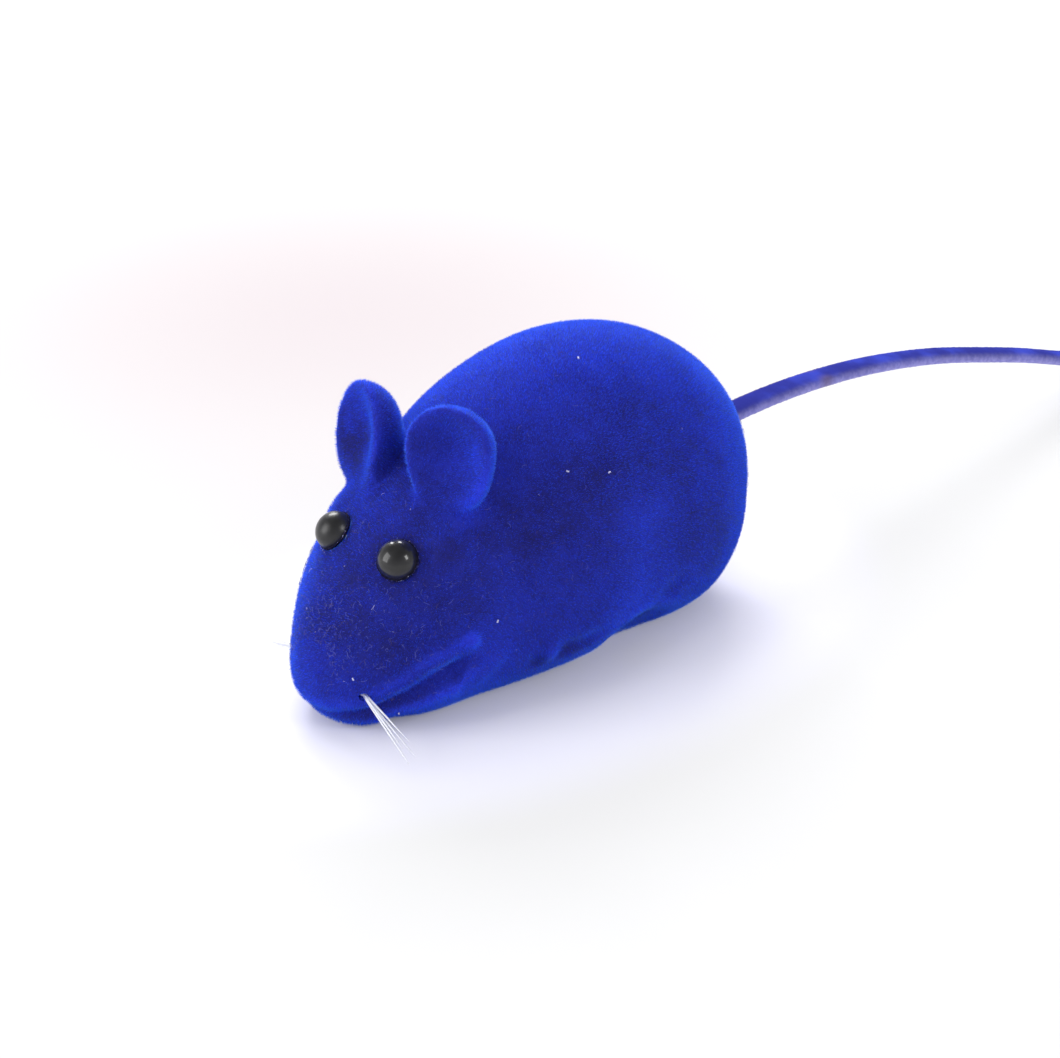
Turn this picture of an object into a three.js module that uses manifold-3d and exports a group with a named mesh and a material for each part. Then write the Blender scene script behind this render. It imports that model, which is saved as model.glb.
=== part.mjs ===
// Mouse cat toy: a hollow moulded mouse with a flocked skin, glossy bead eyes, nylon whiskers,
// a flat lace tail knotted inside the rump, and a small reed squeaker pressed into the belly.
//
// Millimetres. The nose points to -Y, the mouse's left side is +X and +Z is up. The origin lies
// under the middle of the body, on the surface that it stands on.
import * as THREE from "three";
import { mergeVertices } from "three/addons/utils/BufferGeometryUtils.js";
import ManifoldModule from "manifold-3d";

const wasm = await ManifoldModule();
wasm.setup();

// Body: a hollow moulding of soft vinyl with an even wall
const body_length = 60.3;
const body_width = 31.8;
const body_height = 33.6;
const shell_wall = 1.8;
const cut_overrun = 3;
const fitting_gap = 0.3;

// Ears: round bulbs with a dished front, moulded in one with the body
const left_ear_width = 10;
const right_ear_width = 10.8;
const left_ear_upper_height = 4.7;
const right_ear_upper_height = 5.9;
const ear_lower_height = 7;
const ear_bulge = 4.9;
const ear_dish_depth = 2.2;
const ear_lip_round = 0.7;
const left_ear_stand = 7.8;
const right_ear_stand = 7;
const left_ear_outward_turn = 20;
const right_ear_outward_turn = 21;
const left_ear_backward_lean = 10;
const right_ear_backward_lean = 11;
const right_ear_inward_lean = 4;
const ear_root_setback = 1;
const left_ear_root_narrowing = 0.75;
const right_ear_root_narrowing = 0.5;
const ear_dish_squareness = 2.6;

// Mouth and cheeks
const lip_groove_width = 1.3;
const cheek_hollow_length = 12;
const cheek_hollow_height = 4.6;
const cheek_hollow_depth = 1.3;
const cheek_knob_radius = 1.1;
const chin_width = 12;
const chin_length = 8.4;
const chin_height = 6;
const chin_setback = 6;

// Front paws in low relief, and the waist behind them
const paw_relief = 0.5;
const paw_thickness = 2.6;
const paw_length = 10;
const paw_height = 4.4;
const waist_length = 13;
const waist_height = 3.6;
const waist_depth = 0.6;

// Eyes: beads with a peg that is pushed through the wall
const eye_diameter = 4.2;
const eye_dome_height = 1.9;
const eye_socket_depth = 0.5;
const eye_peg_diameter = 1.6;
const eye_peg_length = 3.2;

// Whiskers: nylon strands that run through the snout from side to side
const whisker_diameter = 0.3;
const whisker_count = 4;
const whisker_pitch = 0.46;
const whisker_hole_diameter = 1.6;
const whisker_reach = 8.6;
const whisker_length_step = 0.55;
const whisker_fan = 0.5;
const whisker_arch_share = 0.08;
const left_whisker_drop = 2.5;
const right_whisker_drop = 0.3;
const whisker_forward = 1.5;

// Tail: a flat lace, knotted behind the rump wall, that reaches the ground near its end
const lace_width = 3.2;
const lace_thickness = 1.5;
const lace_edge_round = 0.35;
const tail_exit_height = 15.4;
const tail_hole_gap = 0.4;
const tail_swing = 15;
const tail_reach = 98;
const tail_ground_gap = 0.1;
const knot_radius = 2.9;
const knot_height_share = 0.8;

// Squeaker: a flanged cup in the belly with a reed over a slotted plate
const squeaker_along = 5;
const squeaker_body_diameter = 8.8;
const squeaker_flange_width = 1.2;
const squeaker_flange_thickness = 0.8;
const squeaker_floor_recess = 0.4;
const squeaker_floor_thickness = 1.1;
const squeaker_height = 8;
const squeaker_wall = 0.9;
const squeaker_ledge_width = 0.8;
const squeaker_ledge_height = 3.4;
const squeaker_vent_diameter = 1.8;
const belly_boss_rim = 1.4;
const belly_boss_height = 3.2;
const reed_plate_thickness = 1;
const reed_length_share = 0.66;
const reed_width_share = 0.31;
const reed_slot_share = 0.23;
const reed_thickness = 0.2;
const reed_root_length = 1.1;
const cap_plug_depth = 0.9;
const cap_flange_thickness = 0.7;
const cap_hole_diameter = 1;
const cap_hole_count = 3;

// The three rails of the body, from the nose to the rump. The back and belly rails give places as
// [share of the length, share of the height], the flank rail as [share of the half width, of the
// length, of the height]. The belly rail dips below the ground, where the belly is cut flat.
const back_rail_shares = [
  [0, 0.202],
  [0.038, 0.346],
  [0.135, 0.565],
  [0.275, 0.766],
  [0.449, 0.932],
  [0.635, 1],
  [0.846, 0.896],
  [0.993, 0.639],
  [0.987, 0.365],
];
const flank_rail_shares = [
  [0, 0, 0.202],
  [0.239, 0.023, 0.221],
  [0.658, 0.15, 0.249],
  [0.793, 0.292, 0.321],
  [0.985, 0.477, 0.365],
  [0.95, 0.642, 0.379],
  [0.862, 0.833, 0.373],
  [0.515, 0.972, 0.339],
  [0, 0.987, 0.365],
];
const belly_rail_shares = [
  [0, 0.202],
  [0.012, 0.086],
  [0.134, -0.006],
  [0.295, -0.033],
  [0.595, -0.032],
  [0.845, -0.042],
  [0.96, 0.119],
  [0.987, 0.365],
];
const rail_end_fullness = 1.25;
const upper_roundness = 2.1;
const lower_roundness = 2.4;

// Places on the skin as [way from nose to rump, turn round the body]: a turn of 0 is the ridge of
// the back, a quarter is the left flank and a half is the belly.
const left_ear_place_shares = [0.362, 0.09];
const right_ear_place_shares = [0.362, 0.878];
const eye_place_shares = [0.309, 0.072];
const left_whisker_place_shares = [0.236, 0.314];
const right_whisker_place_shares = [0.222, 0.735];
const cheek_hollow_place_shares = [0.318, 0.279];
const cheek_hollow_end_shares = [0.386, 0.281];
const cheek_knob_place_shares = [0.35, 0.241];
const lip_place_shares = [
  [0.335, 0.243],
  [0.316, 0.253],
  [0.297, 0.267],
  [0.274, 0.317],
  [0.255, 0.372],
  [0.232, 0.422],
  [0.216, 0.5],
];
const paw_place_shares = [0.408, 0.316];
const paw_end_shares = [0.44, 0.303];
const waist_place_shares = [0.52, 0.352];

// The tail behind the rump as [share of its reach sideways, share of its reach, share of its drop]
const tail_route_shares = [
  [0, 0.0306, -0.008],
  [0.0002, 0.0714, -0.0185],
  [0.0008, 0.1327, -0.021],
  [0.002, 0.2041, -0.001],
  [0.0041, 0.2857, 0.0495],
  [0.0071, 0.3673, 0.132],
  [0.0112, 0.449, 0.243],
  [0.0173, 0.5306, 0.3838],
  [0.0245, 0.6122, 0.5354],
  [0.0337, 0.6939, 0.7071],
  [0.0439, 0.7704, 0.8586],
  [0.0551, 0.8367, 0.9529],
  [0.0684, 0.898, 0.9933],
  [0.0837, 0.9541, 1],
  [0.101, 1, 1],
];

// Fineness of the meshes
const body_stations = 30;
const body_facets = 36;
const cavity_stations = 20;
const cavity_facets = 24;
const ear_stations = 14;
const ear_facets = 28;
const eye_steps = 8;
const eye_facets = 24;
const round_facets = 32;
const form_facets = 16;
const small_facets = 12;
const groove_steps = 40;
const whisker_steps = 22;
const tail_steps = 36;
const rump_search_steps = 40;

const up = new THREE.Vector3(0, 0, 1);

// Rails and skin
class Rail extends THREE.Curve {
  constructor(points, leaving, arriving) {
    super();
    this.points = points;
    this.knots = [0];
    for (let i = 1; i < points.length; i++) {
      this.knots.push(this.knots[i - 1] + Math.sqrt(points[i].distanceTo(points[i - 1])));
    }
    const whole = this.knots[this.knots.length - 1];
    this.knots = this.knots.map((knot) => knot / whole);
    this.slopes = points.map((point, i) => this.slopeAt(i, leaving, arriving));
  }

  slopeAt(i, leaving, arriving) {
    const { points, knots } = this;
    const last = points.length - 1;
    if (i === 0 || i === last) {
      const [a, b] = i === 0 ? [0, 1] : [last - 1, last];
      const pace = points[b].distanceTo(points[a]) / (knots[b] - knots[a]);
      return (i === 0 ? leaving : arriving).clone().multiplyScalar(pace * rail_end_fullness);
    }
    const before = knots[i] - knots[i - 1];
    const after = knots[i + 1] - knots[i];
    const slopeBefore = points[i].clone().sub(points[i - 1]).divideScalar(before);
    const slopeAfter = points[i + 1].clone().sub(points[i]).divideScalar(after);
    return slopeBefore.lerp(slopeAfter, before / (before + after));
  }

  getPoint(t, target = new THREE.Vector3()) {
    const { points, knots, slopes } = this;
    let i = knots.findIndex((knot) => knot > t) - 1;
    if (i < 0) i = points.length - 2;
    const span = knots[i + 1] - knots[i];
    const u = (t - knots[i]) / span;
    return target
      .set(0, 0, 0)
      .addScaledVector(points[i], 2 * u ** 3 - 3 * u ** 2 + 1)
      .addScaledVector(slopes[i], (u ** 3 - 2 * u ** 2 + u) * span)
      .addScaledVector(points[i + 1], -2 * u ** 3 + 3 * u ** 2)
      .addScaledVector(slopes[i + 1], (u ** 3 - u ** 2) * span);
  }
}

function alongBody(share) {
  return (share - 0.5) * body_length;
}

function ridgeRail(shares, leaving) {
  const points = shares.map(([along, height]) => {
    return new THREE.Vector3(0, alongBody(along), height * body_height);
  });
  return new Rail(points, leaving, leaving.clone().negate());
}

const backRail = ridgeRail(back_rail_shares, up);
const bellyRail = ridgeRail(belly_rail_shares, up.clone().negate());
const flankPoints = flank_rail_shares.map(([out, along, height]) => {
  return new THREE.Vector3((out * body_width) / 2, alongBody(along), height * body_height);
});
const flankRail = new Rail(flankPoints, new THREE.Vector3(1, 0, 0), new THREE.Vector3(-1, 0, 0));

function signedPower(value, power) {
  return Math.sign(value) * Math.abs(value) ** power;
}

// A point of the loft: the flank rail sets the middle of each section, and the back or belly rail
// its top or bottom, joined by a quarter of a superellipse
function loftPoint(way, turn) {
  const t = (1 - Math.cos(Math.PI * way)) / 2;
  const flank = flankRail.getPoint(t);
  const middle = new THREE.Vector3(0, flank.y, flank.z);
  const rise = Math.cos(2 * Math.PI * turn);
  const reach = Math.sin(2 * Math.PI * turn);
  const roundness = rise >= 0 ? upper_roundness : lower_roundness;
  const ridge = (rise >= 0 ? backRail : bellyRail).getPoint(t);
  return middle
    .clone()
    .addScaledVector(ridge.sub(middle), Math.abs(rise) ** (2 / roundness))
    .addScaledVector(flank.sub(middle), signedPower(reach, 2 / roundness));
}

function skinNormal(way, turn) {
  const step = 1e-3;
  const lengthways = loftPoint(way + step, turn).sub(loftPoint(way - step, turn));
  const around = loftPoint(way, turn + step).sub(loftPoint(way, turn - step));
  return around.cross(lengthways).normalize();
}

// Solids
function solidOf(geometry) {
  const bare = geometry.clone();
  bare.deleteAttribute("normal");
  bare.deleteAttribute("uv");
  const merged = mergeVertices(bare);
  const vertProperties = Float32Array.from(merged.attributes.position.array);
  const triVerts = Uint32Array.from(merged.index.array);
  return new wasm.Manifold(new wasm.Mesh({ numProp: 3, vertProperties, triVerts }));
}

function geometryOf(solid) {
  const mesh = solid.getMesh();
  const geometry = new THREE.BufferGeometry();
  geometry.setAttribute("position", new THREE.BufferAttribute(mesh.vertProperties.slice(), 3));
  geometry.setIndex(new THREE.BufferAttribute(mesh.triVerts.slice(), 1));
  geometry.computeVertexNormals();
  return geometry;
}

// Skins a row of rings between two end points. The rings run the same way round.
function closedLoft(rings, start, end) {
  const positions = [];
  const index = [];
  const count = rings[0].length;
  for (const point of [...rings.flat(), start, end]) positions.push(point.x, point.y, point.z);
  const startIndex = rings.length * count;
  const endIndex = startIndex + 1;
  for (let j = 0; j < count; j++) {
    const next = (j + 1) % count;
    index.push(startIndex, next, j);
    for (let i = 0; i + 1 < rings.length; i++) {
      const near = i * count;
      const far = near + count;
      index.push(near + j, near + next, far + next, near + j, far + next, far + j);
    }
    index.push(endIndex - 1 - count + j, endIndex - 1 - count + next, endIndex);
  }
  const geometry = new THREE.BufferGeometry();
  geometry.setAttribute("position", new THREE.Float32BufferAttribute(positions, 3));
  geometry.setIndex(index);
  return geometry;
}

// The whole body loft, or the one that lies a wall further in
function bodyLoft(inset, stations, facets) {
  const rings = [];
  for (let i = 1; i < stations; i++) {
    const ring = [];
    for (let j = 0; j < facets; j++) {
      const point = loftPoint(i / stations, j / facets);
      ring.push(point.addScaledVector(skinNormal(i / stations, j / facets), -inset));
    }
    rings.push(ring);
  }
  const nose = loftPoint(0, 0);
  const rump = loftPoint(1, 0);
  nose.y += inset;
  rump.y -= inset;
  return solidOf(closedLoft(rings, nose, rump));
}

function block(low, high) {
  const geometry = new THREE.BoxGeometry(high.x - low.x, high.y - low.y, high.z - low.z);
  geometry.translate((low.x + high.x) / 2, (low.y + high.y) / 2, (low.z + high.z) / 2);
  return solidOf(geometry);
}

function aboveHeight(height) {
  const reach = body_length + cut_overrun;
  return block(new THREE.Vector3(-reach, -reach, height), new THREE.Vector3(reach, reach, height + reach));
}

// A straight round bar between two points
function bar(from, to, diameter, facets = small_facets) {
  const length = to.distanceTo(from);
  const geometry = new THREE.CylinderGeometry(diameter / 2, diameter / 2, length, facets);
  const direction = to.clone().sub(from).normalize();
  geometry.applyQuaternion(new THREE.Quaternion().setFromUnitVectors(new THREE.Vector3(0, 1, 0), direction));
  const middle = from.clone().add(to).divideScalar(2);
  geometry.translate(middle.x, middle.y, middle.z);
  return solidOf(geometry);
}

// An ellipsoid with its length along one direction and its depth along another
function ellipsoid(centre, lengthways, outward, length, height, depth, facets = form_facets) {
  const geometry = new THREE.SphereGeometry(1, facets, facets / 2);
  geometry.scale(length / 2, height / 2, depth / 2);
  const along = lengthways.clone().projectOnPlane(outward).normalize();
  const across = outward.clone().cross(along);
  const placing = new THREE.Matrix4().makeBasis(along, across, outward).setPosition(centre);
  geometry.applyMatrix4(placing);
  return solidOf(geometry);
}

function mirrored(place, side) {
  return side > 0 ? place : [place[0], 1 - place[1]];
}

function skinFrame(place) {
  const point = loftPoint(...place);
  const normal = skinNormal(...place);
  return { point, normal };
}

// Ears
function ear(side) {
  const { point } = skinFrame(side > 0 ? left_ear_place_shares : right_ear_place_shares);
  const stand = side > 0 ? left_ear_stand : right_ear_stand;
  const width = side > 0 ? left_ear_width : right_ear_width;
  const upper_height = side > 0 ? left_ear_upper_height : right_ear_upper_height;
  const turnAngle = THREE.MathUtils.degToRad(side > 0 ? left_ear_outward_turn : -right_ear_outward_turn);
  const lean = THREE.MathUtils.degToRad(side > 0 ? left_ear_backward_lean : right_ear_backward_lean);
  const inwardLean = THREE.MathUtils.degToRad(side > 0 ? 0 : right_ear_inward_lean);
  const placing = new THREE.Matrix4()
    .makeRotationZ(turnAngle)
    .multiply(new THREE.Matrix4().makeRotationY(inwardLean))
    .multiply(new THREE.Matrix4().makeRotationX(-lean));
  const across = new THREE.Vector3(1, 0, 0).applyMatrix4(placing);
  const back = new THREE.Vector3(0, 1, 0).applyMatrix4(placing);
  const upward = new THREE.Vector3(0, 0, 1).applyMatrix4(placing);
  const centre = point.clone().addScaledVector(upward, stand);

  function ring(height, fullness) {
    const points = [];
    const sink = height < 0 ? (height / ear_lower_height) ** 2 : 0;
    const dish = ear_dish_depth * (1 - sink);
    for (let j = 0; j < ear_facets; j++) {
      const angle = (2 * Math.PI * j) / ear_facets;
      const edge = Math.abs(Math.sin(angle)) * fullness;
      const front = dish * edge ** ear_dish_squareness - ear_lip_round * edge;
      const depth = (Math.sin(angle) >= 0 ? ear_bulge * edge : front) + ear_root_setback * sink;
      points.push(
        centre
          .clone()
          .addScaledVector(upward, height)
          .addScaledVector(across, ((Math.cos(angle) * width) / 2) * fullness)
          .addScaledVector(back, depth),
      );
    }
    return points;
  }

  const narrowing = side > 0 ? left_ear_root_narrowing : right_ear_root_narrowing;
  const rings = [];
  for (let i = 1; i < ear_stations; i++) {
    const rise = Math.PI * (i / ear_stations - 0.5);
    const fullness = Math.cos(rise);
    if (rise < 0) rings.push(ring(ear_lower_height * Math.sin(rise), fullness ** narrowing));
    else rings.push(ring(upper_height * Math.sin(rise), fullness));
  }
  const root = centre.clone().addScaledVector(upward, -ear_lower_height);
  const tip = centre.clone().addScaledVector(upward, upper_height);
  root.addScaledVector(back, ear_root_setback);
  return solidOf(closedLoft(rings, root, tip));
}

// Mouth, cheeks and chin
function lipGroove() {
  const left = lip_place_shares.map((place) => skinFrame(place).point);
  const right = lip_place_shares.map((place) => skinFrame(mirrored(place, -1)).point).reverse();
  const path = new THREE.CatmullRomCurve3([...left, ...right.slice(1)], false, "centripetal");
  const section = new THREE.Shape();
  section.absellipse(0, 0, lip_groove_width / 2, lip_groove_width / 2, 0, 2 * Math.PI);
  return solidOf(
    new THREE.ExtrudeGeometry(section, {
      steps: groove_steps,
      curveSegments: 4,
      extrudePath: path,
      bevelEnabled: false,
    }),
  );
}

function cheekHollow(side, growth) {
  const { point, normal } = skinFrame(mirrored(cheek_hollow_place_shares, side));
  const lengthways = skinFrame(mirrored(cheek_hollow_end_shares, side)).point.sub(point);
  return ellipsoid(
    point,
    lengthways,
    normal,
    cheek_hollow_length + 2 * growth,
    cheek_hollow_height + 2 * growth,
    2 * (cheek_hollow_depth + growth),
  );
}

function cheekKnob(side) {
  const { point, normal } = skinFrame(mirrored(cheek_knob_place_shares, side));
  point.addScaledVector(normal, -cheek_knob_radius / 2);
  const diameter = 2 * cheek_knob_radius;
  return ellipsoid(point, up, normal, diameter, diameter, diameter, small_facets);
}

function chin() {
  const centre = new THREE.Vector3(0, alongBody(0) + chin_setback, chin_height / 2);
  return ellipsoid(centre, new THREE.Vector3(1, 0, 0), up, chin_width, chin_length, chin_height, eye_facets);
}

function paw(side) {
  const { point, normal } = skinFrame(mirrored(paw_place_shares, side));
  const lengthways = skinFrame(mirrored(paw_end_shares, side)).point.sub(point);
  point.addScaledVector(normal, paw_relief - paw_thickness / 2);
  return ellipsoid(point, lengthways, normal, paw_length, paw_height, paw_thickness);
}

function waist(side) {
  const { point, normal } = skinFrame(mirrored(waist_place_shares, side));
  return ellipsoid(point, new THREE.Vector3(0, 1, 0), normal, waist_length, waist_height, 2 * waist_depth);
}

// Cuts through the shell
function eyeFrame(side) {
  return skinFrame(mirrored(eye_place_shares, side));
}

function eyeSocket(side) {
  const { point, normal } = eyeFrame(side);
  const outside = point.clone().addScaledVector(normal, cut_overrun);
  const seat = point.clone().addScaledVector(normal, -eye_socket_depth);
  const inside = point.clone().addScaledVector(normal, -shell_wall - cut_overrun);
  const counterbore = bar(seat, outside, eye_diameter + 2 * fitting_gap, eye_facets);
  return counterbore.add(bar(inside, outside, eye_peg_diameter + 2 * fitting_gap));
}

const leftWhiskerExit = skinFrame(left_whisker_place_shares).point;
const rightWhiskerExit = skinFrame(right_whisker_place_shares).point;
const whiskerAxis = leftWhiskerExit.clone().sub(rightWhiskerExit).normalize();

function whiskerHole() {
  const from = rightWhiskerExit.clone().addScaledVector(whiskerAxis, -cut_overrun);
  const to = leftWhiskerExit.clone().addScaledVector(whiskerAxis, cut_overrun);
  return bar(from, to, whisker_hole_diameter);
}

// The rump wall at the height of the tail
function rumpAt(height) {
  let low = 0.5;
  let high = 1;
  for (let i = 0; i < rump_search_steps; i++) {
    const middle = (low + high) / 2;
    if (loftPoint(middle, 0).z > height) low = middle;
    else high = middle;
  }
  return loftPoint(low, 0).y;
}

const rump_outside = rumpAt(tail_exit_height);
const tail_pivot = new THREE.Vector3(0, rump_outside - shell_wall / 2, tail_exit_height);
const swing = THREE.MathUtils.degToRad(tail_swing);
const tail_hole_width = lace_width / Math.cos(swing) + shell_wall * Math.tan(swing) + 2 * fitting_gap;

function tailHole() {
  const halfWidth = tail_hole_width / 2;
  const halfHeight = lace_thickness / 2 + tail_hole_gap;
  const { y, z } = tail_pivot;
  return block(
    new THREE.Vector3(-halfWidth, y - shell_wall / 2 - cut_overrun, z - halfHeight),
    new THREE.Vector3(halfWidth, y + shell_wall / 2 + cut_overrun, z + halfHeight),
  );
}

function turnedAboutSqueaker(profile) {
  const outline = profile.map(([radius, height]) => new THREE.Vector2(radius, height));
  const geometry = new THREE.LatheGeometry(outline, round_facets);
  geometry.rotateX(Math.PI / 2);
  geometry.translate(0, squeaker_along, 0);
  return solidOf(geometry);
}

const seat_radius = squeaker_body_diameter / 2 + fitting_gap;
const flange_radius = squeaker_body_diameter / 2 + squeaker_flange_width;
const counterbore_radius = flange_radius + fitting_gap;
const flange_top = squeaker_floor_recess + squeaker_flange_thickness;
const seat_low = flange_top + fitting_gap;
const inner_flange_low = belly_boss_height + fitting_gap;

function squeakerHole() {
  return turnedAboutSqueaker([
    [0, -cut_overrun],
    [counterbore_radius, -cut_overrun],
    [counterbore_radius, seat_low],
    [seat_radius, seat_low],
    [seat_radius, belly_boss_height + cut_overrun],
    [0, belly_boss_height + cut_overrun],
  ]);
}

function bellyBoss() {
  const radius = counterbore_radius + belly_boss_rim;
  return turnedAboutSqueaker([
    [0, 0],
    [radius, 0],
    [radius, belly_boss_height],
    [0, belly_boss_height],
  ]);
}

function bodyShell() {
  let form = bodyLoft(0, body_stations, body_facets);
  form = form.add(chin());
  for (const side of [1, -1]) {
    form = form.add(ear(side)).add(cheekKnob(side));
    form = form.add(paw(side)).subtract(waist(side)).subtract(cheekHollow(side, 0));
  }
  form = form.subtract(lipGroove()).intersect(aboveHeight(0));

  let cavity = bodyLoft(shell_wall, cavity_stations, cavity_facets);
  cavity = cavity.intersect(aboveHeight(shell_wall)).subtract(bellyBoss());
  for (const side of [1, -1]) cavity = cavity.subtract(cheekHollow(side, shell_wall));

  let shell = form.subtract(cavity).subtract(whiskerHole()).subtract(tailHole()).subtract(squeakerHole());
  for (const side of [1, -1]) shell = shell.subtract(eyeSocket(side));
  return geometryOf(shell);
}

// Eyes
function eye(side) {
  const { point, normal } = eyeFrame(side);
  const radius = eye_diameter / 2;
  const seat = fitting_gap - eye_socket_depth;
  const crown = eye_dome_height;
  const profile = [new THREE.Vector2(0, seat - eye_peg_length)];
  profile.push(new THREE.Vector2(eye_peg_diameter / 2, seat - eye_peg_length));
  profile.push(new THREE.Vector2(eye_peg_diameter / 2, seat));
  profile.push(new THREE.Vector2(radius, seat));
  for (let i = 0; i <= eye_steps; i++) {
    const angle = (Math.PI / 2) * (i / eye_steps);
    profile.push(new THREE.Vector2(radius * Math.cos(angle), crown * Math.sin(angle)));
  }
  profile[profile.length - 1].x = 0;
  const geometry = new THREE.LatheGeometry(profile, eye_facets);
  geometry.applyQuaternion(new THREE.Quaternion().setFromUnitVectors(new THREE.Vector3(0, 1, 0), normal));
  geometry.translate(point.x, point.y, point.z);
  return geometry;
}

// Whiskers
function whisker(number) {
  const columns = 2;
  const column = (number % columns) - (columns - 1) / 2;
  const row = Math.floor(number / columns) - (whisker_count / columns - 1) / 2;
  const sideways = new THREE.Vector3(0, column, row).projectOnPlane(whiskerAxis);
  const offset = sideways.clone().multiplyScalar(whisker_pitch);
  const fan = sideways.clone().multiplyScalar(whisker_fan);
  const reach = whisker_reach - whisker_length_step * number;

  function sidePoints(exit, side, drop) {
    const tip = exit.clone().add(offset).add(fan);
    tip.add(new THREE.Vector3(side * reach, -whisker_forward, -drop));
    const middle = exit.clone().add(offset).lerp(tip, 0.5);
    middle.z += drop * whisker_arch_share;
    return [exit.clone().add(offset), middle, tip];
  }

  const left = sidePoints(leftWhiskerExit, 1, left_whisker_drop);
  const right = sidePoints(rightWhiskerExit, -1, right_whisker_drop);
  const path = new THREE.CatmullRomCurve3([...right.reverse(), ...left], false, "centripetal");
  const section = new THREE.Shape();
  section.absellipse(0, 0, whisker_diameter / 2, whisker_diameter / 2, 0, 2 * Math.PI);
  return new THREE.ExtrudeGeometry(section, {
    steps: whisker_steps,
    curveSegments: 3,
    extrudePath: path,
    bevelEnabled: false,
  });
}

// Tail
function laceSection() {
  const x = lace_width / 2;
  const y = lace_thickness / 2;
  const round = lace_edge_round;
  const section = new THREE.Shape();
  section.moveTo(-x + round, -y);
  section.lineTo(x - round, -y);
  section.lineTo(x, -y + round);
  section.lineTo(x, y - round);
  section.lineTo(x - round, y);
  section.lineTo(-x + round, y);
  section.lineTo(-x, y - round);
  section.lineTo(-x, -y + round);
  return section;
}

function tail() {
  const exit = new THREE.Vector3(0, rump_outside + 2 * fitting_gap, tail_exit_height);
  const drop = tail_exit_height - lace_thickness / 2 - tail_ground_gap;
  const points = tail_route_shares.map(([sideways, along, down]) => {
    const height = tail_exit_height - down * drop;
    return new THREE.Vector3(sideways * tail_reach, rump_outside + along * tail_reach, height);
  });
  const path = new THREE.CatmullRomCurve3([exit, ...points], false, "centripetal");
  return new THREE.ExtrudeGeometry(laceSection(), {
    steps: tail_steps,
    extrudePath: path,
    bevelEnabled: false,
  });
}

function tailKnot() {
  const wallInside = rump_outside - shell_wall;
  const centre = new THREE.Vector3(0, wallInside - 2 * fitting_gap - knot_radius, tail_exit_height);
  const width = 2 * knot_radius;
  const knot = ellipsoid(centre, new THREE.Vector3(1, 0, 0), up, width, width, width * knot_height_share);
  const depth = rump_outside + fitting_gap - centre.y;
  const neck = new THREE.ExtrudeGeometry(laceSection(), { depth, bevelEnabled: false });
  neck.rotateX(-Math.PI / 2);
  neck.translate(0, centre.y, centre.z);
  return geometryOf(knot.add(solidOf(neck)));
}

// Squeaker
const bore_radius = squeaker_body_diameter / 2 - squeaker_wall;
const chamber_radius = bore_radius - squeaker_ledge_width;
const case_top = squeaker_floor_recess + squeaker_height;
const plate_radius = bore_radius - fitting_gap;
const plate_low = squeaker_ledge_height + fitting_gap;
const plate_high = plate_low + reed_plate_thickness;
const reed_low = plate_high + fitting_gap;
const reed_high = reed_low + reed_thickness;
const reed_length = 2 * bore_radius * reed_length_share;
const reed_width = 2 * bore_radius * reed_width_share;
const reed_slot_width = 2 * bore_radius * reed_slot_share;
const reed_root_end = squeaker_along - reed_length / 2;

function squeakerCase() {
  const outer = squeaker_body_diameter / 2;
  const floor_top = squeaker_floor_recess + squeaker_floor_thickness;
  const inner_flange_high = inner_flange_low + squeaker_flange_thickness;
  const solid = turnedAboutSqueaker([
    [squeaker_vent_diameter / 2, squeaker_floor_recess],
    [flange_radius, squeaker_floor_recess],
    [flange_radius, flange_top],
    [outer, flange_top],
    [outer, inner_flange_low],
    [flange_radius, inner_flange_low],
    [outer, inner_flange_high],
    [outer, case_top],
    [bore_radius, case_top],
    [bore_radius, squeaker_ledge_height],
    [chamber_radius, squeaker_ledge_height],
    [chamber_radius, floor_top],
    [squeaker_vent_diameter / 2, floor_top],
    [squeaker_vent_diameter / 2, squeaker_floor_recess],
  ]);
  return geometryOf(solid);
}

function reedPlate() {
  const disc = turnedAboutSqueaker([
    [0, plate_low],
    [plate_radius, plate_low],
    [plate_radius, plate_high],
    [0, plate_high],
  ]);
  const slotStart = reed_root_end + reed_root_length;
  const slotEnd = reed_root_end + reed_length - fitting_gap;
  const slot = block(
    new THREE.Vector3(-reed_slot_width / 2, slotStart, plate_low - cut_overrun),
    new THREE.Vector3(reed_slot_width / 2, slotEnd, plate_high + cut_overrun),
  );
  return geometryOf(disc.subtract(slot));
}

function reed() {
  const outline = new THREE.Shape();
  const halfWidth = reed_width / 2;
  const tipStart = reed_length - halfWidth;
  outline.moveTo(-halfWidth, 0);
  outline.lineTo(halfWidth, 0);
  outline.lineTo(halfWidth, tipStart);
  outline.absarc(0, tipStart, halfWidth, 0, Math.PI);
  const geometry = new THREE.ExtrudeGeometry(outline, {
    depth: reed_thickness,
    curveSegments: 8,
    bevelEnabled: false,
  });
  geometry.translate(0, reed_root_end, reed_low);
  return geometry;
}

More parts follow.
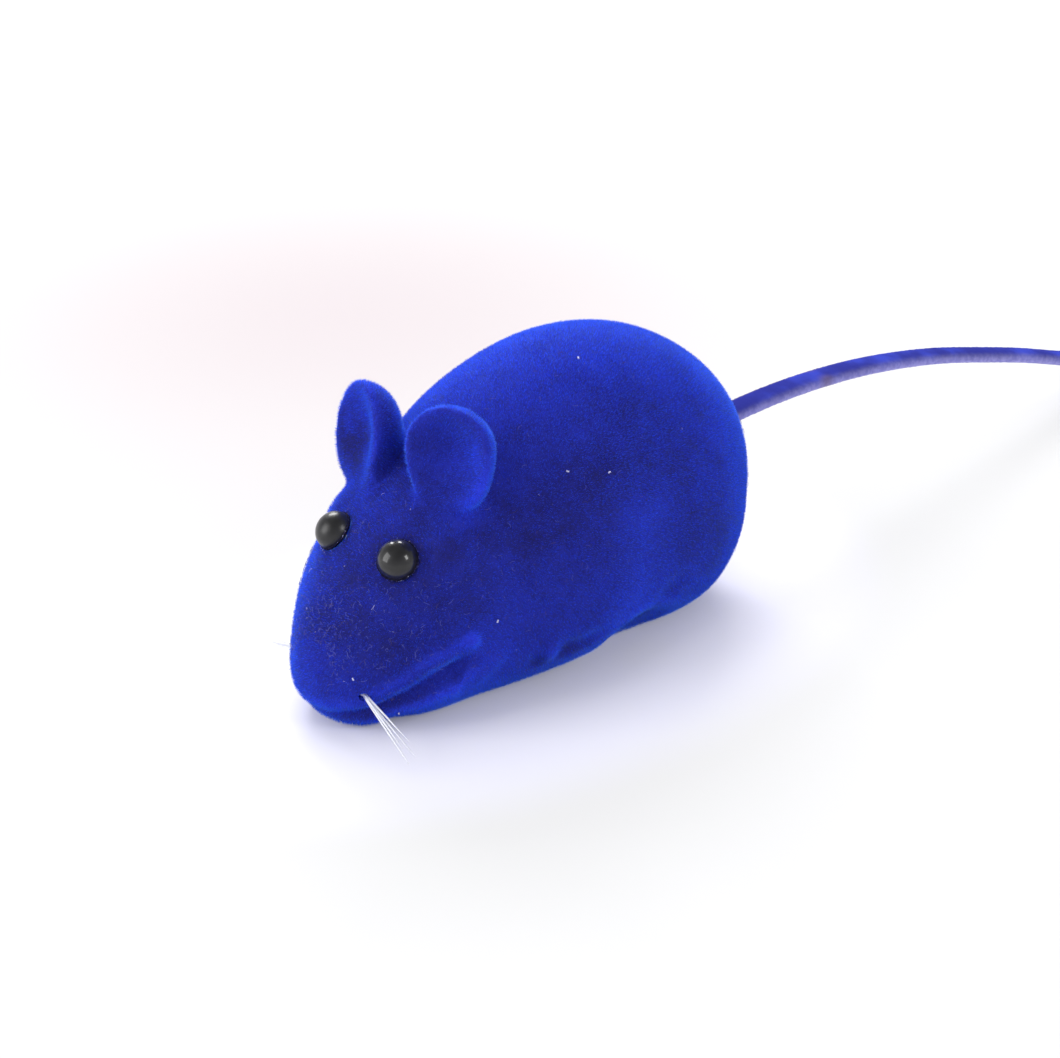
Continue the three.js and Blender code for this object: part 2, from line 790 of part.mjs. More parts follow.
function squeakerCap() {
  const flange_low = case_top + fitting_gap;
  const plug_low = flange_low - cap_plug_depth;
  const flange_high = flange_low + cap_flange_thickness;
  let cap = turnedAboutSqueaker([
    [0, plug_low],
    [plate_radius, plug_low],
    [plate_radius, flange_low],
    [squeaker_body_diameter / 2, flange_low],
    [squeaker_body_diameter / 2, flange_high],
    [0, flange_high],
  ]);
  const post = block(
    new THREE.Vector3(-reed_width / 2, reed_root_end, reed_high + fitting_gap),
    new THREE.Vector3(reed_width / 2, reed_root_end + reed_root_length, flange_low),
  );
  cap = cap.add(post);
  const ring_radius = plate_radius - cap_hole_diameter;
  for (let i = 0; i < cap_hole_count; i++) {
    const angle = (2 * Math.PI * i) / (cap_hole_count + 1);
    const x = ring_radius * Math.cos(angle);
    const y = squeaker_along + ring_radius * Math.sin(angle);
    const from = new THREE.Vector3(x, y, plug_low - cut_overrun);
    const to = new THREE.Vector3(x, y, flange_high + cut_overrun);
    cap = cap.subtract(bar(from, to, cap_hole_diameter));
  }
  return geometryOf(cap);
}

// Materials and assembly
const flock = { color: 0x0b22c4, roughness: 1, metalness: 0 };
const glossBlack = { color: 0x17191c, roughness: 0.12, metalness: 0 };
const clearNylon = { color: 0xe6e8ec, roughness: 0.2, metalness: 0 };
const blueLace = { color: 0x1a2a9c, roughness: 0.7, metalness: 0 };
const whitePlastic = { color: 0xe9e9e4, roughness: 0.45, metalness: 0 };
const reedFilm = { color: 0xd8d2b8, roughness: 0.3, metalness: 0 };

const toy = new THREE.Group();

function addPart(name, geometry, finish) {
  const mesh = new THREE.Mesh(geometry, new THREE.MeshStandardMaterial(finish));
  mesh.name = name;
  toy.add(mesh);
}

addPart("body_shell", bodyShell(), flock);
addPart("left_eye", eye(1), glossBlack);
addPart("right_eye", eye(-1), glossBlack);
for (let i = 0; i < whisker_count; i++) addPart(`whisker_${i + 1}`, whisker(i), clearNylon);
addPart("tail", tail(), blueLace);
addPart("tail_knot", tailKnot(), blueLace);
addPart("squeaker_case", squeakerCase(), whitePlastic);
addPart("reed_plate", reedPlate(), whitePlastic);
addPart("reed", reed(), reedFilm);
addPart("squeaker_cap", squeakerCap(), whitePlastic);

export default toy;
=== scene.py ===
import math
import random

import bmesh
import bpy
import numpy as np
from mathutils import Matrix, Vector, noise
from mathutils.kdtree import KDTree


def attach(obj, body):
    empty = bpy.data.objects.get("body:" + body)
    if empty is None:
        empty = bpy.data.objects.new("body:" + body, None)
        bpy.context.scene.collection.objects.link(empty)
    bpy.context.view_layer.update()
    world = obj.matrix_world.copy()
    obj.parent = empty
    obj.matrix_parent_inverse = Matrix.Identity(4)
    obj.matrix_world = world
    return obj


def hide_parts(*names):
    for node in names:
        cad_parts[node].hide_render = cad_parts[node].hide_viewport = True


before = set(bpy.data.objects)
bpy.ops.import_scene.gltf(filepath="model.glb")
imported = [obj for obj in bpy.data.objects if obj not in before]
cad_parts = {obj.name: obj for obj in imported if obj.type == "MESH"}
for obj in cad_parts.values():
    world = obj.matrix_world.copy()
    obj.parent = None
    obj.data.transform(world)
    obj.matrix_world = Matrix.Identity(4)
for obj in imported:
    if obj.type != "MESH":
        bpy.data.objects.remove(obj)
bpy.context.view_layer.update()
mm = 0.001
scene = bpy.context.scene


# Camera. The toy is seen from its left front and from a little above, through a long lens,
# so the lines hardly converge. The camera stands about 30 cm from the mouse.
view_azimuth = math.radians(44.858)
view_elevation = math.radians(25.906)
view_distance = 308.966 * mm
view_target = Vector((0, 2.415 * mm, 11.997 * mm))
lens_length = 96.43

towards_camera = Vector((
    math.sin(view_azimuth) * math.cos(view_elevation),
    -math.cos(view_azimuth) * math.cos(view_elevation),
    math.sin(view_elevation),
))
camera = bpy.data.objects.new("camera", bpy.data.cameras.new("camera"))
camera.location = view_target + towards_camera * view_distance
camera.rotation_euler = (math.pi / 2 - view_elevation, 0, view_azimuth)
camera.data.lens = lens_length
camera.data.clip_start = 0.01
scene.collection.objects.link(camera)
scene.camera = camera


# Tail. A flat lace cut from a dyed sheet: a smooth blue face above and below, and raw grey-brown
# edges with short fuzz. It leaves the rump nearly level and sinks to the ground near its end.
lace_width, lace_thickness = 3.35 * mm, 1.55 * mm
lace_corner, lace_wear = 0.68, 0.12 * mm
rump_outside = 29.6525 * mm
tail_exit_height = 15.4 * mm
tail_reach, tail_drop = 98 * mm, 14.55 * mm
tail_route_shares = [
    (0, 0.0306, -0.008), (0.0002, 0.0714, -0.0185), (0.0008, 0.1327, -0.021),
    (0.002, 0.2041, -0.001), (0.0041, 0.2857, 0.0495), (0.0071, 0.3673, 0.132),
    (0.0112, 0.449, 0.243), (0.0173, 0.5306, 0.3838), (0.0245, 0.6122, 0.5354),
    (0.0337, 0.6939, 0.7071), (0.0439, 0.7704, 0.8586), (0.0551, 0.8367, 0.9529),
    (0.0684, 0.898, 0.9933), (0.0837, 0.9541, 1), (0.101, 1, 1),
]


class Shares:
    """A number that nodes work out over the surface, for use in plain sums."""

    def __init__(self, tree, socket):
        self.tree = tree
        self.socket = socket

    def maths(self, operation, *others):
        return self.tree.number("ShaderNodeMath", {"operation": operation}, self, *others)

    def __add__(self, other):
        return self.maths("ADD", other)

    def __mul__(self, other):
        return self.maths("MULTIPLY", other)

    def __sub__(self, other):
        return self.maths("SUBTRACT", other)

    def __rsub__(self, other):
        return self.tree.number("ShaderNodeMath", {"operation": "SUBTRACT"}, other, self)

    __radd__ = __add__
    __rmul__ = __mul__


class Tree:
    """Nodes, put together one by one."""

    def __init__(self, tree):
        self.tree = tree

    def join(self, value, socket):
        if isinstance(value, Shares):
            value = value.socket
        if isinstance(value, bpy.types.NodeSocket):
            self.tree.links.new(value, socket)
        else:
            socket.default_value = value

    def set(self, node, values):
        for name, value in values.items():
            self.join(value, node.inputs[name.replace("_", " ")])

    def node(self, kind, settings=None, *inputs, **named):
        made = self.tree.nodes.new(kind)
        for name, value in (settings or {}).items():
            setattr(made, name, value)
        for value, socket in zip(inputs, made.inputs):
            self.join(value, socket)
        self.set(made, named)
        return made

    def number(self, kind, settings=None, *inputs, **named):
        return Shares(self, self.node(kind, settings, *inputs, **named).outputs[0])


class Finish(Tree):
    """One material, built around a Principled shader."""

    def __init__(self, name, **plain):
        self.material = bpy.data.materials.new(name)
        self.material.use_nodes = True
        super().__init__(self.material.node_tree)
        self.shader = self.tree.nodes["Principled BSDF"]
        self.output = self.tree.nodes["Material Output"]
        self.shade(**plain)
        self.places = self.node("ShaderNodeTexCoord").outputs["Object"]

    def shade(self, **values):
        self.set(self.shader, values)

    def grain(self, scale, detail=2.0, roughness=0.5):
        return self.number("ShaderNodeTexNoise", None, Vector=self.places, Scale=scale,
                           Detail=detail, Roughness=roughness)

    def between(self, value, low, high):
        return self.number("ShaderNodeMapRange", {"interpolation_type": "SMOOTHSTEP"},
                           value, low, high)

    def mixed(self, share, low, high):
        made = self.node("ShaderNodeMix", {"data_type": "RGBA"}, Factor=share)
        self.join(low, made.inputs[6])
        self.join(high, made.inputs[7])
        return made.outputs[2]

    def bump(self, height, strength, distance):
        made = self.node("ShaderNodeBump", None, Height=height, Strength=strength,
                         Distance=distance)
        self.join(made.outputs[0], self.shader.inputs["Normal"])


def new_object(name, mesh, *finishes):
    for finish in finishes:
        mesh.materials.append(finish.material)
    made = bpy.data.objects.new(name, mesh)
    scene.collection.objects.link(made)
    return made


def finished(made, name, *finishes):
    """Makes a smooth-shaded object of a bmesh."""
    mesh = bpy.data.meshes.new(name)
    made.to_mesh(mesh)
    made.free()
    mesh.shade_smooth()
    return new_object(name, mesh, *finishes)


def wrapped_grid(columns, rows, place, loose=1e-6):
    """A grid of faces that is bent into a closed skin. place takes the columns' and the rows'
    shares, from 0 to 1, and gives the points."""
    made = bmesh.new()
    bmesh.ops.create_grid(made, x_segments=columns, y_segments=rows, size=0.5)
    shares = np.array([corner.co for corner in made.verts]) + 0.5
    layer = made.loops.layers.uv.new("along_and_round")
    for face in made.faces:
        for loop in face.loops:
            loop[layer].uv = loop.vert.co.xy + Vector((0.5, 0.5))
    for corner, point in zip(made.verts, place(shares[:, 0], shares[:, 1])):
        corner.co = point
    bmesh.ops.remove_doubles(made, verts=made.verts, dist=loose)
    edges = [edge for edge in made.edges if edge.is_boundary]
    bmesh.ops.holes_fill(made, edges=edges, sides=0)
    bmesh.ops.recalc_face_normals(made, faces=made.faces)
    return made


def smooth_way(points, steps):
    """Evenly spaced points on a smooth curve through the given ones, and its length."""
    points = np.array(points, float)
    ends = np.vstack([2 * points[0] - points[1], points, 2 * points[-1] - points[-2]])
    dense = []
    for a, b, c, d in zip(ends, ends[1:], ends[2:], ends[3:]):
        for u in np.linspace(0, 1, 24, endpoint=False):
            dense.append(0.5 * (2 * b + (c - a) * u + (2 * a - 5 * b + 4 * c - d) * u**2
                                + (3 * b - a - 3 * c + d) * u**3))
    dense = np.vstack([dense, points[-1]])
    travelled = np.concatenate([[0], np.cumsum(np.linalg.norm(np.diff(dense, axis=0), axis=1))])
    stops = np.linspace(0, travelled[-1], steps)
    even = np.stack([np.interp(stops, travelled, dense[:, axis]) for axis in range(3)], 1)
    return even, float(travelled[-1])


def cross_ways(way, upward):
    """The level and the upward direction across a way, at each of its points."""
    ahead = np.gradient(way, axis=0)
    ahead /= np.linalg.norm(ahead, axis=1)[:, None]
    across = np.cross(ahead, upward)
    across /= np.linalg.norm(across, axis=1)[:, None]
    return across, np.cross(across, ahead)


def lace_skin(way, width, thickness, wander, seed):
    """Sweeps a round-edged flat section along a way. The raw edges wander by a small amount."""
    across, above = cross_ways(way, [0, 0, 1])

    def place(along, around):
        step = along * (len(way) - 1)
        i = np.clip(np.round(step).astype(int), 0, len(way) - 1)
        angle = 2 * np.pi * around
        side = np.sign(np.cos(angle)) * np.abs(np.cos(angle)) ** lace_corner
        rise = np.sign(np.sin(angle)) * np.abs(np.sin(angle)) ** lace_corner
        ragged = np.array([noise.noise(Vector((x * 1.9, y * 1.4, seed)))
                           for x, y in zip(step / 2, np.cos(angle) * 2)])
        half = width / 2 + wander * ragged * np.abs(side)
        height = thickness / 2 * (1 + 0.05 * ragged)
        return way[i] + across[i] * (side * half)[:, None] + above[i] * (rise * height)[:, None]

    return place


# the knot's centre lies a wall, a short neck and half a knot behind the outside
knot_centre_y = rump_outside - (1.8 + 0.6 + 2.9) * mm
route = [(0, knot_centre_y, tail_exit_height), (0, knot_centre_y + 2 * mm, tail_exit_height),
         (0, rump_outside, tail_exit_height)]
for sideways, along, down in tail_route_shares:
    route.append((sideways * tail_reach, rump_outside + along * tail_reach,
                  tail_exit_height - down * tail_drop))
lace_way, lace_length = smooth_way(route, 420)

lace = Finish("dyed_lace", Roughness=0.95, Specular_IOR_Level=0.02)
lace_uv = lace.node("ShaderNodeUVMap", {"uv_map": "along_and_round"}).outputs[0]
lace_along, lace_round, _ = (Shares(lace, socket) for socket in lace.node(
    "ShaderNodeSeparateXYZ", None, lace_uv).outputs)
lace_across = (lace_round * math.tau).maths("COSINE")
lace_rise = (lace_round * math.tau).maths("SINE")
lace_fray = lace.grain(1500, 4, 0.6)
lace_mottle = lace.grain(210, 3)
# the dye has soaked into the faces and thins out down the raw edges
lace_dye = lace.mixed(lace.between(lace_mottle, 0.35, 0.68),
                      (0.018, 0.022, 0.19, 1), (0.028, 0.042, 0.34, 1))
lace_core = lace.mixed(lace.between(lace_fray, 0.35, 0.65),
                       (0.19, 0.185, 0.42, 1), (0.26, 0.25, 0.5, 1))
lace_beige = lace.mixed(lace.between(lace_fray, 0.4, 0.6),
                        (0.075, 0.066, 0.12, 1), (0.15, 0.135, 0.2, 1))
lace_wander = (lace_mottle - 0.5) * 0.5 + (lace_fray - 0.5) * 0.3
lace_edge = lace.between(lace_across.maths("ABSOLUTE"), 0.05, 0.9)
lace_faded = lace_edge * lace.between(lace_wander * 0.6 - lace_rise, -1.1, 0.6)
lace_far_line = lace.between(lace_wander * 0.2 - lace_across, 0.52, 0.7)
stain_place, stain_width, stain_strength = 0.247, 0.016, 0.5
lace_stain = (lace_along - stain_place).maths("ABSOLUTE") + lace_wander * 0.01
lace_stain = lace_edge * lace.between(lace_stain, stain_width, 0.0)
lace_colour = lace.mixed(lace_faded, lace_dye, lace_core)
lace_colour = lace.mixed(lace_far_line, lace_colour, lace_beige)
lace_colour = lace.mixed(lace_stain * stain_strength, lace_colour, (0.13, 0.09, 0.12, 1))
lace.shade(Base_Color=lace_colour)
lace.bump(lace_fray * 0.6 + lace_mottle * 0.4, 0.35, 0.12 * mm)

made = wrapped_grid(len(lace_way) - 1, 40,
                    lace_skin(lace_way, lace_width, lace_thickness, lace_wear, 3.0))
tail_lace = finished(made, "tail_lace", lace)
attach(tail_lace, "tail_body")
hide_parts("tail")


# Knot. The lace is tied in an overhand knot behind the rump wall. Pulled tight there, it is too
# thick for the slot.
knot_radius = 2.4 * mm
knot_loop, knot_breadth, knot_depth = knot_radius * 0.42, 0.62, 0.5
tight_width, tight_thickness, tight_wear = 1.5 * mm, 0.9 * mm, 0.05 * mm
knot_turns = []
for i in range(60):
    angle = math.tau * i / 60
    knot_turns.append((
        knot_loop * knot_breadth * (math.sin(angle) + 2 * math.sin(2 * angle)),
        knot_centre_y + knot_loop * knot_depth * (math.cos(angle) - 2 * math.cos(2 * angle)),
        tail_exit_height - knot_radius / 2 * math.sin(3 * angle),
    ))
knot_way, _ = smooth_way(knot_turns, 160)
made = wrapped_grid(len(knot_way) - 1, 20,
                    lace_skin(knot_way, tight_width, tight_thickness, tight_wear, 8.0))
lace_knot = finished(made, "lace_knot", lace)
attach(lace_knot, "tail_body")
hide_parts("tail_knot")


# Moulded body. A hollow moulding of soft vinyl, in one with the ears, the lips, the cheeks and
# the front paws. It lies a flock's depth under the outside that one sees.
body_length, body_width, body_height = 60.3 * mm, 31.8 * mm, 33.6 * mm
shell_wall = 1.8 * mm
flock_depth = 0.25 * mm
ground_clearance = 0.06 * mm
rail_end_fullness = 1.25
upper_roundness, lower_roundness = 2.1, 2.4
back_rail_shares = [
    (0, 0.202), (0.038, 0.346), (0.135, 0.565), (0.275, 0.766), (0.449, 0.932), (0.635, 1),
    (0.846, 0.896), (0.993, 0.639), (0.987, 0.365),
]
flank_rail_shares = [
    (0, 0, 0.202), (0.239, 0.023, 0.221), (0.658, 0.15, 0.249), (0.793, 0.292, 0.321),
    (0.985, 0.477, 0.365), (0.95, 0.642, 0.379), (0.862, 0.833, 0.373), (0.515, 0.972, 0.339),
    (0, 0.987, 0.365),
]
belly_rail_shares = [
    (0, 0.202), (0.012, 0.086), (0.134, -0.006), (0.295, -0.033), (0.595, -0.032),
    (0.845, -0.042), (0.96, 0.119), (0.987, 0.365),
]


def rail(points, leaving):
    """A smooth curve through points, which leaves one way and arrives the opposite way."""
    points = np.array(points)
    chords = np.diff(points, axis=0)
    knots = np.concatenate([[0], np.cumsum(np.sqrt(np.linalg.norm(chords, axis=1)))])
    knots /= knots[-1]
    spans = np.diff(knots)[:, None]
    pace = chords / spans
    slopes = np.empty_like(points)
    slopes[1:-1] = (pace[:-1] * spans[1:] + pace[1:] * spans[:-1]) / (spans[1:] + spans[:-1])
    slopes[0] = np.array(leaving) * np.linalg.norm(pace[0]) * rail_end_fullness
    slopes[-1] = np.array(leaving) * -np.linalg.norm(pace[-1]) * rail_end_fullness

    def at(t):
        i = np.clip(np.searchsorted(knots, t, side="right") - 1, 0, len(spans) - 1)
        span = spans[i]
        u = (t - knots[i])[:, None] / span
        return (points[i] * (2 * u**3 - 3 * u**2 + 1) + slopes[i] * (u**3 - 2 * u**2 + u) * span
                + points[i + 1] * (3 * u**2 - 2 * u**3) + slopes[i + 1] * (u**3 - u**2) * span)

    return at


back_rail = rail([(0, (y - 0.5) * body_length, z * body_height)
                  for y, z in back_rail_shares], (0, 0, 1))
belly_rail = rail([(0, (y - 0.5) * body_length, z * body_height)
                   for y, z in belly_rail_shares], (0, 0, -1))
flank_rail = rail([(x * body_width / 2, (y - 0.5) * body_length, z * body_height)
                   for x, y, z in flank_rail_shares], (1, 0, 0))


def body_skin(way, turn):
    """Points on the body: way runs from the nose to the rump and turn round it from the back."""
    way, turn = np.atleast_1d(way), np.atleast_1d(turn)
    t = (1 - np.cos(np.pi * way)) / 2
    flank = flank_rail(t)
    middle = flank * [0, 1, 1]
    rise, reach = np.cos(2 * np.pi * turn), np.sin(2 * np.pi * turn)
    above = (rise >= 0)[:, None]
    power = 2 / np.where(above, upper_roundness, lower_roundness)
    ridge = np.where(above, back_rail(t), belly_rail(t))
    rise_share = np.abs(rise)[:, None] ** power
    reach_share = np.sign(reach)[:, None] * np.abs(reach)[:, None] ** power
    return middle + (ridge - middle) * rise_share + (flank - middle) * reach_share


def skin_place(way, turn):
    """A point of the body and its outward direction."""
    step = 1e-3
    point = body_skin(way, turn)[0]
    lengthways = body_skin(way + step, turn)[0] - body_skin(way - step, turn)[0]
    around = body_skin(way, turn + step)[0] - body_skin(way, turn - step)[0]
    normal = np.cross(around, lengthways)
    return point, normal / np.linalg.norm(normal)


# the relief is the same on both sides: the lips with the hollow under the cheek, the knob at the
# corner of the mouth, the front paw and the fold of the haunch
lip_line = [
    # way, turn, depth, width of the hollow below it
    (0.216, 0.5, 0.9, 2.2), (0.218, 0.46, 0.9, 2.2), (0.222, 0.434, 0.9, 2.2),
    (0.231, 0.398, 0.95, 2.2), (0.242, 0.37, 1.0, 2.2), (0.252, 0.334, 1.05, 2.0),
    (0.262, 0.308, 1.1, 2.0), (0.278, 0.283, 1.3, 2.4), (0.296, 0.258, 1.6, 3.2),
    (0.319, 0.252, 1.8, 3.6), (0.335, 0.251, 1.55, 3.5), (0.347, 0.256, 0.9, 2.8),
    (0.356, 0.262, 0.35, 2.2), (0.364, 0.266, 0.0, 1.6),
]
haunch_line = [
    (0.497, 0.334, 0.0, 4.0), (0.508, 0.333, 0.3, 6.0), (0.519, 0.329, 0.9, 8.0),
    (0.53, 0.323, 1.3, 8.0), (0.545, 0.325, 1.5, 8.0), (0.562, 0.333, 1.0, 8.0),
    (0.58, 0.348, 0.5, 6.0), (0.597, 0.36, 0.0, 4.0),
]
crease_line = [
    (0.6, 0.14, 0.0, 1.8), (0.617, 0.157, 0.09, 2.2), (0.63, 0.171, 0.12, 2.4),
    (0.643, 0.185, 0.08, 2.2), (0.655, 0.2, 0.0, 1.8),
]
dabs = [
    # way, turn, height, half length, half width, tilt
    (0.347, 0.24, 0.8, 0.9, 0.85, 0.0), (0.352, 0.12, 0.8, 2.8, 2.5, 0.0),
    (0.378, 0.3, 0.3, 2.6, 1.1, 0.9), (0.441, 0.314, 0.55, 0.75, 1.7, 0.1),
    (0.432, 0.33, -0.3, 0.8, 1.3, 0.5), (0.458, 0.323, -0.38, 1.2, 1.6, 0.2),
    (0.478, 0.323, -0.4, 2.4, 1.2, 0.25), (0.57, 0.308, -0.25, 2.4, 1.5, 0.2),
]
relief_reach = 16 * mm
hollow_edge, hollow_slope, line_end = 0.35 * mm, 1.5 * mm, 1.0 * mm
upper_swell_place, upper_swell_width = 1.1 * mm, 0.8 * mm
lower_swell_place, lower_swell_width = 0.6 * mm, 0.9 * mm
swell, dab_reach = 0.14, 3 * mm


def folded_over(points):
    """The points, with those of the right side mirrored to the left."""
    return np.column_stack([np.abs(points[:, 0]), points[:, 1:]])


def pressed(points, normals):
    """How far each point of the skin moves outwards, and how much lighter it is painted: painted
    highlights on the lips and the ridges below them, painted shade in the hollows.
    """
    folded = folded_over(points)
    outward = normals.copy()
    outward[:, 0] *= np.sign(points[:, 0] + 1e-12)
    moved, lighter = np.zeros(len(points)), np.zeros(len(points))
    for line in (lip_line, haunch_line, crease_line):
        stops = np.array([body_skin(way, turn)[0] for way, turn, _, _ in line])
        dense, _ = smooth_way(stops, 160)
        measure = np.linalg.norm(stops[:, None] - dense[None], axis=2).argmin(1)
        depths = np.interp(np.arange(160), measure, [stop[2] for stop in line]) * mm
        widths = np.interp(np.arange(160), measure, [stop[3] for stop in line]) * mm
        near = np.where(np.abs(folded[:, 1] - stops[:, 1].mean()) < relief_reach)[0]
        for chunk in np.array_split(near, max(1, len(near) // 800)):
            offset = folded[chunk][:, None] - dense[None]
            nearest = np.linalg.norm(offset, axis=2).argmin(1)
            ahead = np.gradient(dense, axis=0)[nearest]
            ahead /= np.linalg.norm(ahead, axis=1)[:, None]
            below = np.cross(outward[chunk], ahead)
            below *= np.sign(-below[:, 2:3] + 1e-9)
            out = offset[np.arange(len(chunk)), nearest]
            under = (out * below).sum(1)
            past = (out * ahead).sum(1)
            depth, width = depths[nearest], widths[nearest]
            slope = np.minimum(0.5 * width, hollow_slope) + hollow_edge
            edge = np.clip((under + hollow_edge) / slope, 0, 1)
            back = np.clip((under - 0.45 * width) / (0.6 * width), 0, 1)
            end = np.exp(-(past / line_end) ** 2)
            hollow = edge**2 * (3 - 2 * edge) * (1 - back**2 * (3 - 2 * back))
            lip = np.exp(-((under + upper_swell_place) / upper_swell_width) ** 2)
            ridge = np.exp(-((under - width - lower_swell_place) / lower_swell_width) ** 2)
            moved[chunk] += depth * end * (swell * (lip + ridge) - hollow)
            # painted highlight on the lip and the ridge below it, painted shade in the hollow
            lighter[chunk] += (np.sqrt(depth / mm) * end
                               * (0.4 * lip + 0.45 * ridge - 0.06 * hollow))
    for way, turn, height, length, width, tilt in dabs:
        centre, normal = skin_place(way, turn)
        along = np.array([0, math.cos(tilt), math.sin(tilt)])
        along -= normal * (along @ normal)
        along /= np.linalg.norm(along)
        across = np.cross(normal, along)
        offset = folded - centre
        size = ((offset @ along) / (length * mm)) ** 2 + ((offset @ across) / (width * mm)) ** 2
        moved += height * mm * np.exp(-size**1.5) * (np.abs(offset @ normal) < dab_reach)
    return moved, lighter


def body_form(name, columns, rows, sunk, lowest):
    """The body's skin, moved along its normals by what sunk makes of its relief. The second
    value is the plain skin, a flock's depth down."""
    made = wrapped_grid(columns, rows, body_skin)
    made.normal_update()
    points = np.array([corner.co for corner in made.verts])
    normals = np.array([corner.normal for corner in made.verts])
    moved = sunk(pressed(points, normals)[0])
    for corner, point in zip(made.verts, points + normals * moved[:, None]):
        corner.co = point
        corner.co.z = max(corner.co.z, lowest)
    return finished(made, name), points - normals * flock_depth


outside, body_points = body_form("outside", 220, 264, lambda relief: relief - flock_depth,
                                 ground_clearance)


# Ears. Thick round bulbs with a dished front, moulded in one with the head. They stand a little
# apart and lean back.
ear_lower, ear_bulge, ear_setback = 7 * mm, 4.9 * mm, 1.0 * mm
ear_dish, ear_lip = 3.0 * mm, 1.8 * mm
ears = [
    # side, way, turn, width, upper height, stand, turn outwards, lean back, lean inwards, and the
    # narrowing towards the root on the +X and the -X half
    (1, 0.362, 0.09, 10.1, 4.7, 7.8, 20, 10, 0, 0.72, 0.5),
    (-1, 0.362, 0.878, 10.9, 5.95, 7.0, 21, 11, 4, 0.5, 0.3),
]


def ear_skin(side, way, turn, width, upper, stand, outward_turn, lean, inward_lean,
             right_root, left_root):
    root = body_skin(way, turn)[0]
    turned = (Matrix.Rotation(math.radians(side * outward_turn), 3, "Z")
              @ Matrix.Rotation(math.radians(-side * inward_lean), 3, "Y")
              @ Matrix.Rotation(math.radians(-lean), 3, "X"))
    across, back, upward = np.array(turned).T
    centre = root + upward * stand * mm

    def place(around, up):
        rise = np.pi * (up - 0.5)
        low = rise < 0
        height = np.where(low, ear_lower, upper * mm) * np.sin(rise)
        angle = 2 * np.pi * around
        narrowing = left_root + (right_root - left_root) * (1 + np.cos(angle)) / 2
        fullness = np.clip(np.cos(rise), 0, 1) ** np.where(low, narrowing, 1)
        sink = np.where(low, (height / ear_lower) ** 2, 0)
        edge = np.abs(np.sin(angle)) * fullness
        front = ear_dish * (1 - sink) * edge**3 - ear_lip * (1 - 0.75 * sink) * edge
        depth = np.where(np.sin(angle) >= 0, ear_bulge * edge, front) + ear_setback * sink
        sideways = np.cos(angle) * width / 2 * mm * fullness
        return (centre + upward * height[:, None] + across * sideways[:, None]
                + back * depth[:, None])

    return place


forms = [outside]
for values in ears:
    made = wrapped_grid(96, 80, ear_skin(*values))
    made.normal_update()
    for corner, normal in [(corner, corner.normal.copy()) for corner in made.verts]:
        corner.co -= normal * flock_depth
    forms.append(finished(made, "ear_form"))
root_points = np.vstack([[corner.co for corner in form.data.vertices] for form in forms[1:]])

chin_size = Vector((12 * mm, 8.6 * mm, 5.2 * mm))
chin_setback, chin_middle = 6 * mm, 2.1 * mm
made = bmesh.new()
bmesh.ops.create_uvsphere(made, u_segments=48, v_segments=32, radius=0.5)
bmesh.ops.scale(made, vec=chin_size - Vector((1, 1, 1)) * 2 * flock_depth, verts=made.verts)
bmesh.ops.translate(made, vec=(0, chin_setback - body_length / 2, chin_middle), verts=made.verts)
for corner in made.verts:
    corner.co.z = max(corner.co.z, ground_clearance)
forms.append(finished(made, "chin_form"))


def settled(piece, kind, **values):
    """Gives a piece a modifier and keeps the mesh that it makes."""
    modifier = piece.modifiers.new(kind, kind)
    for name, value in values.items():
        setattr(modifier, name, value)
    bpy.context.view_layer.update()
    graph = bpy.context.evaluated_depsgraph_get()
    mesh = bpy.data.meshes.new_from_object(piece.evaluated_get(graph))
    mesh.shade_smooth()
    piece.modifiers.clear()
    piece.data = mesh


def near_tree(cloud):
    tree = KDTree(len(cloud))
    for i, point in enumerate(cloud):
        tree.insert(point, i)
    tree.balance()
    return tree


form_fineness, form_smoothing, root_smoothing = 0.32 * mm, 5, 84
root_lowest, root_reach, root_fillet = 18 * mm, 6 * mm, 2.3 * mm
made = bmesh.new()
for form in forms:
    made.from_mesh(form.data)
    bpy.data.objects.remove(form)
moulding = finished(made, "flocked_body")
settled(moulding, "REMESH", mode="VOXEL", voxel_size=form_fineness)
settled(moulding, "SMOOTH", factor=0.5, iterations=form_smoothing)
# the ears run into the head with a soft fillet, so only their roots are smoothed further
body_tree, ear_tree = near_tree(body_points), near_tree(root_points)
group = moulding.vertex_groups.new(name="ear_roots")
for corner in moulding.data.vertices:
    if corner.co.z > root_lowest and corner.co.y < 0:
        reach = math.hypot(body_tree.find(corner.co)[2], ear_tree.find(corner.co)[2])
        if reach < root_reach:
            group.add([corner.index], math.exp(-(reach / root_fillet) ** 2), "REPLACE")
settled(moulding, "SMOOTH", factor=0.5, iterations=root_smoothing, vertex_group="ear_roots")
moulding.vertex_groups.clear()


# Openings. The moulding is hollow, and its wall has sockets for the eyes, a bore for the whiskers,
# a slot for the tail and a stepped hole for the squeaker. The rims are trimmed after moulding.
eye_place = (0.309, 0.072)
eye_diameter, eye_dome, eye_socket_depth, eye_peg = 4.2 * mm, 1.9 * mm, 0.5 * mm, 1.6 * mm
gap, socket_gap, overrun, peg_bore = 0.3 * mm, 0.05 * mm, 3 * mm, 5 * mm
left_whisker_place, right_whisker_place, bore_radius = (0.236, 0.314), (0.222, 0.735), 0.48 * mm
squeaker_along = 5 * mm
flange_radius, flange_depth, seat_radius, seat_depth = 5.9 * mm, 1.5 * mm, 4.7 * mm, 6.2 * mm
slot_width, slot_height, slot_depth = 4.4 * mm, 2.3 * mm, 6 * mm


def eye_at(side):
    return skin_place(eye_place[0], eye_place[1] if side > 0 else 1 - eye_place[1])


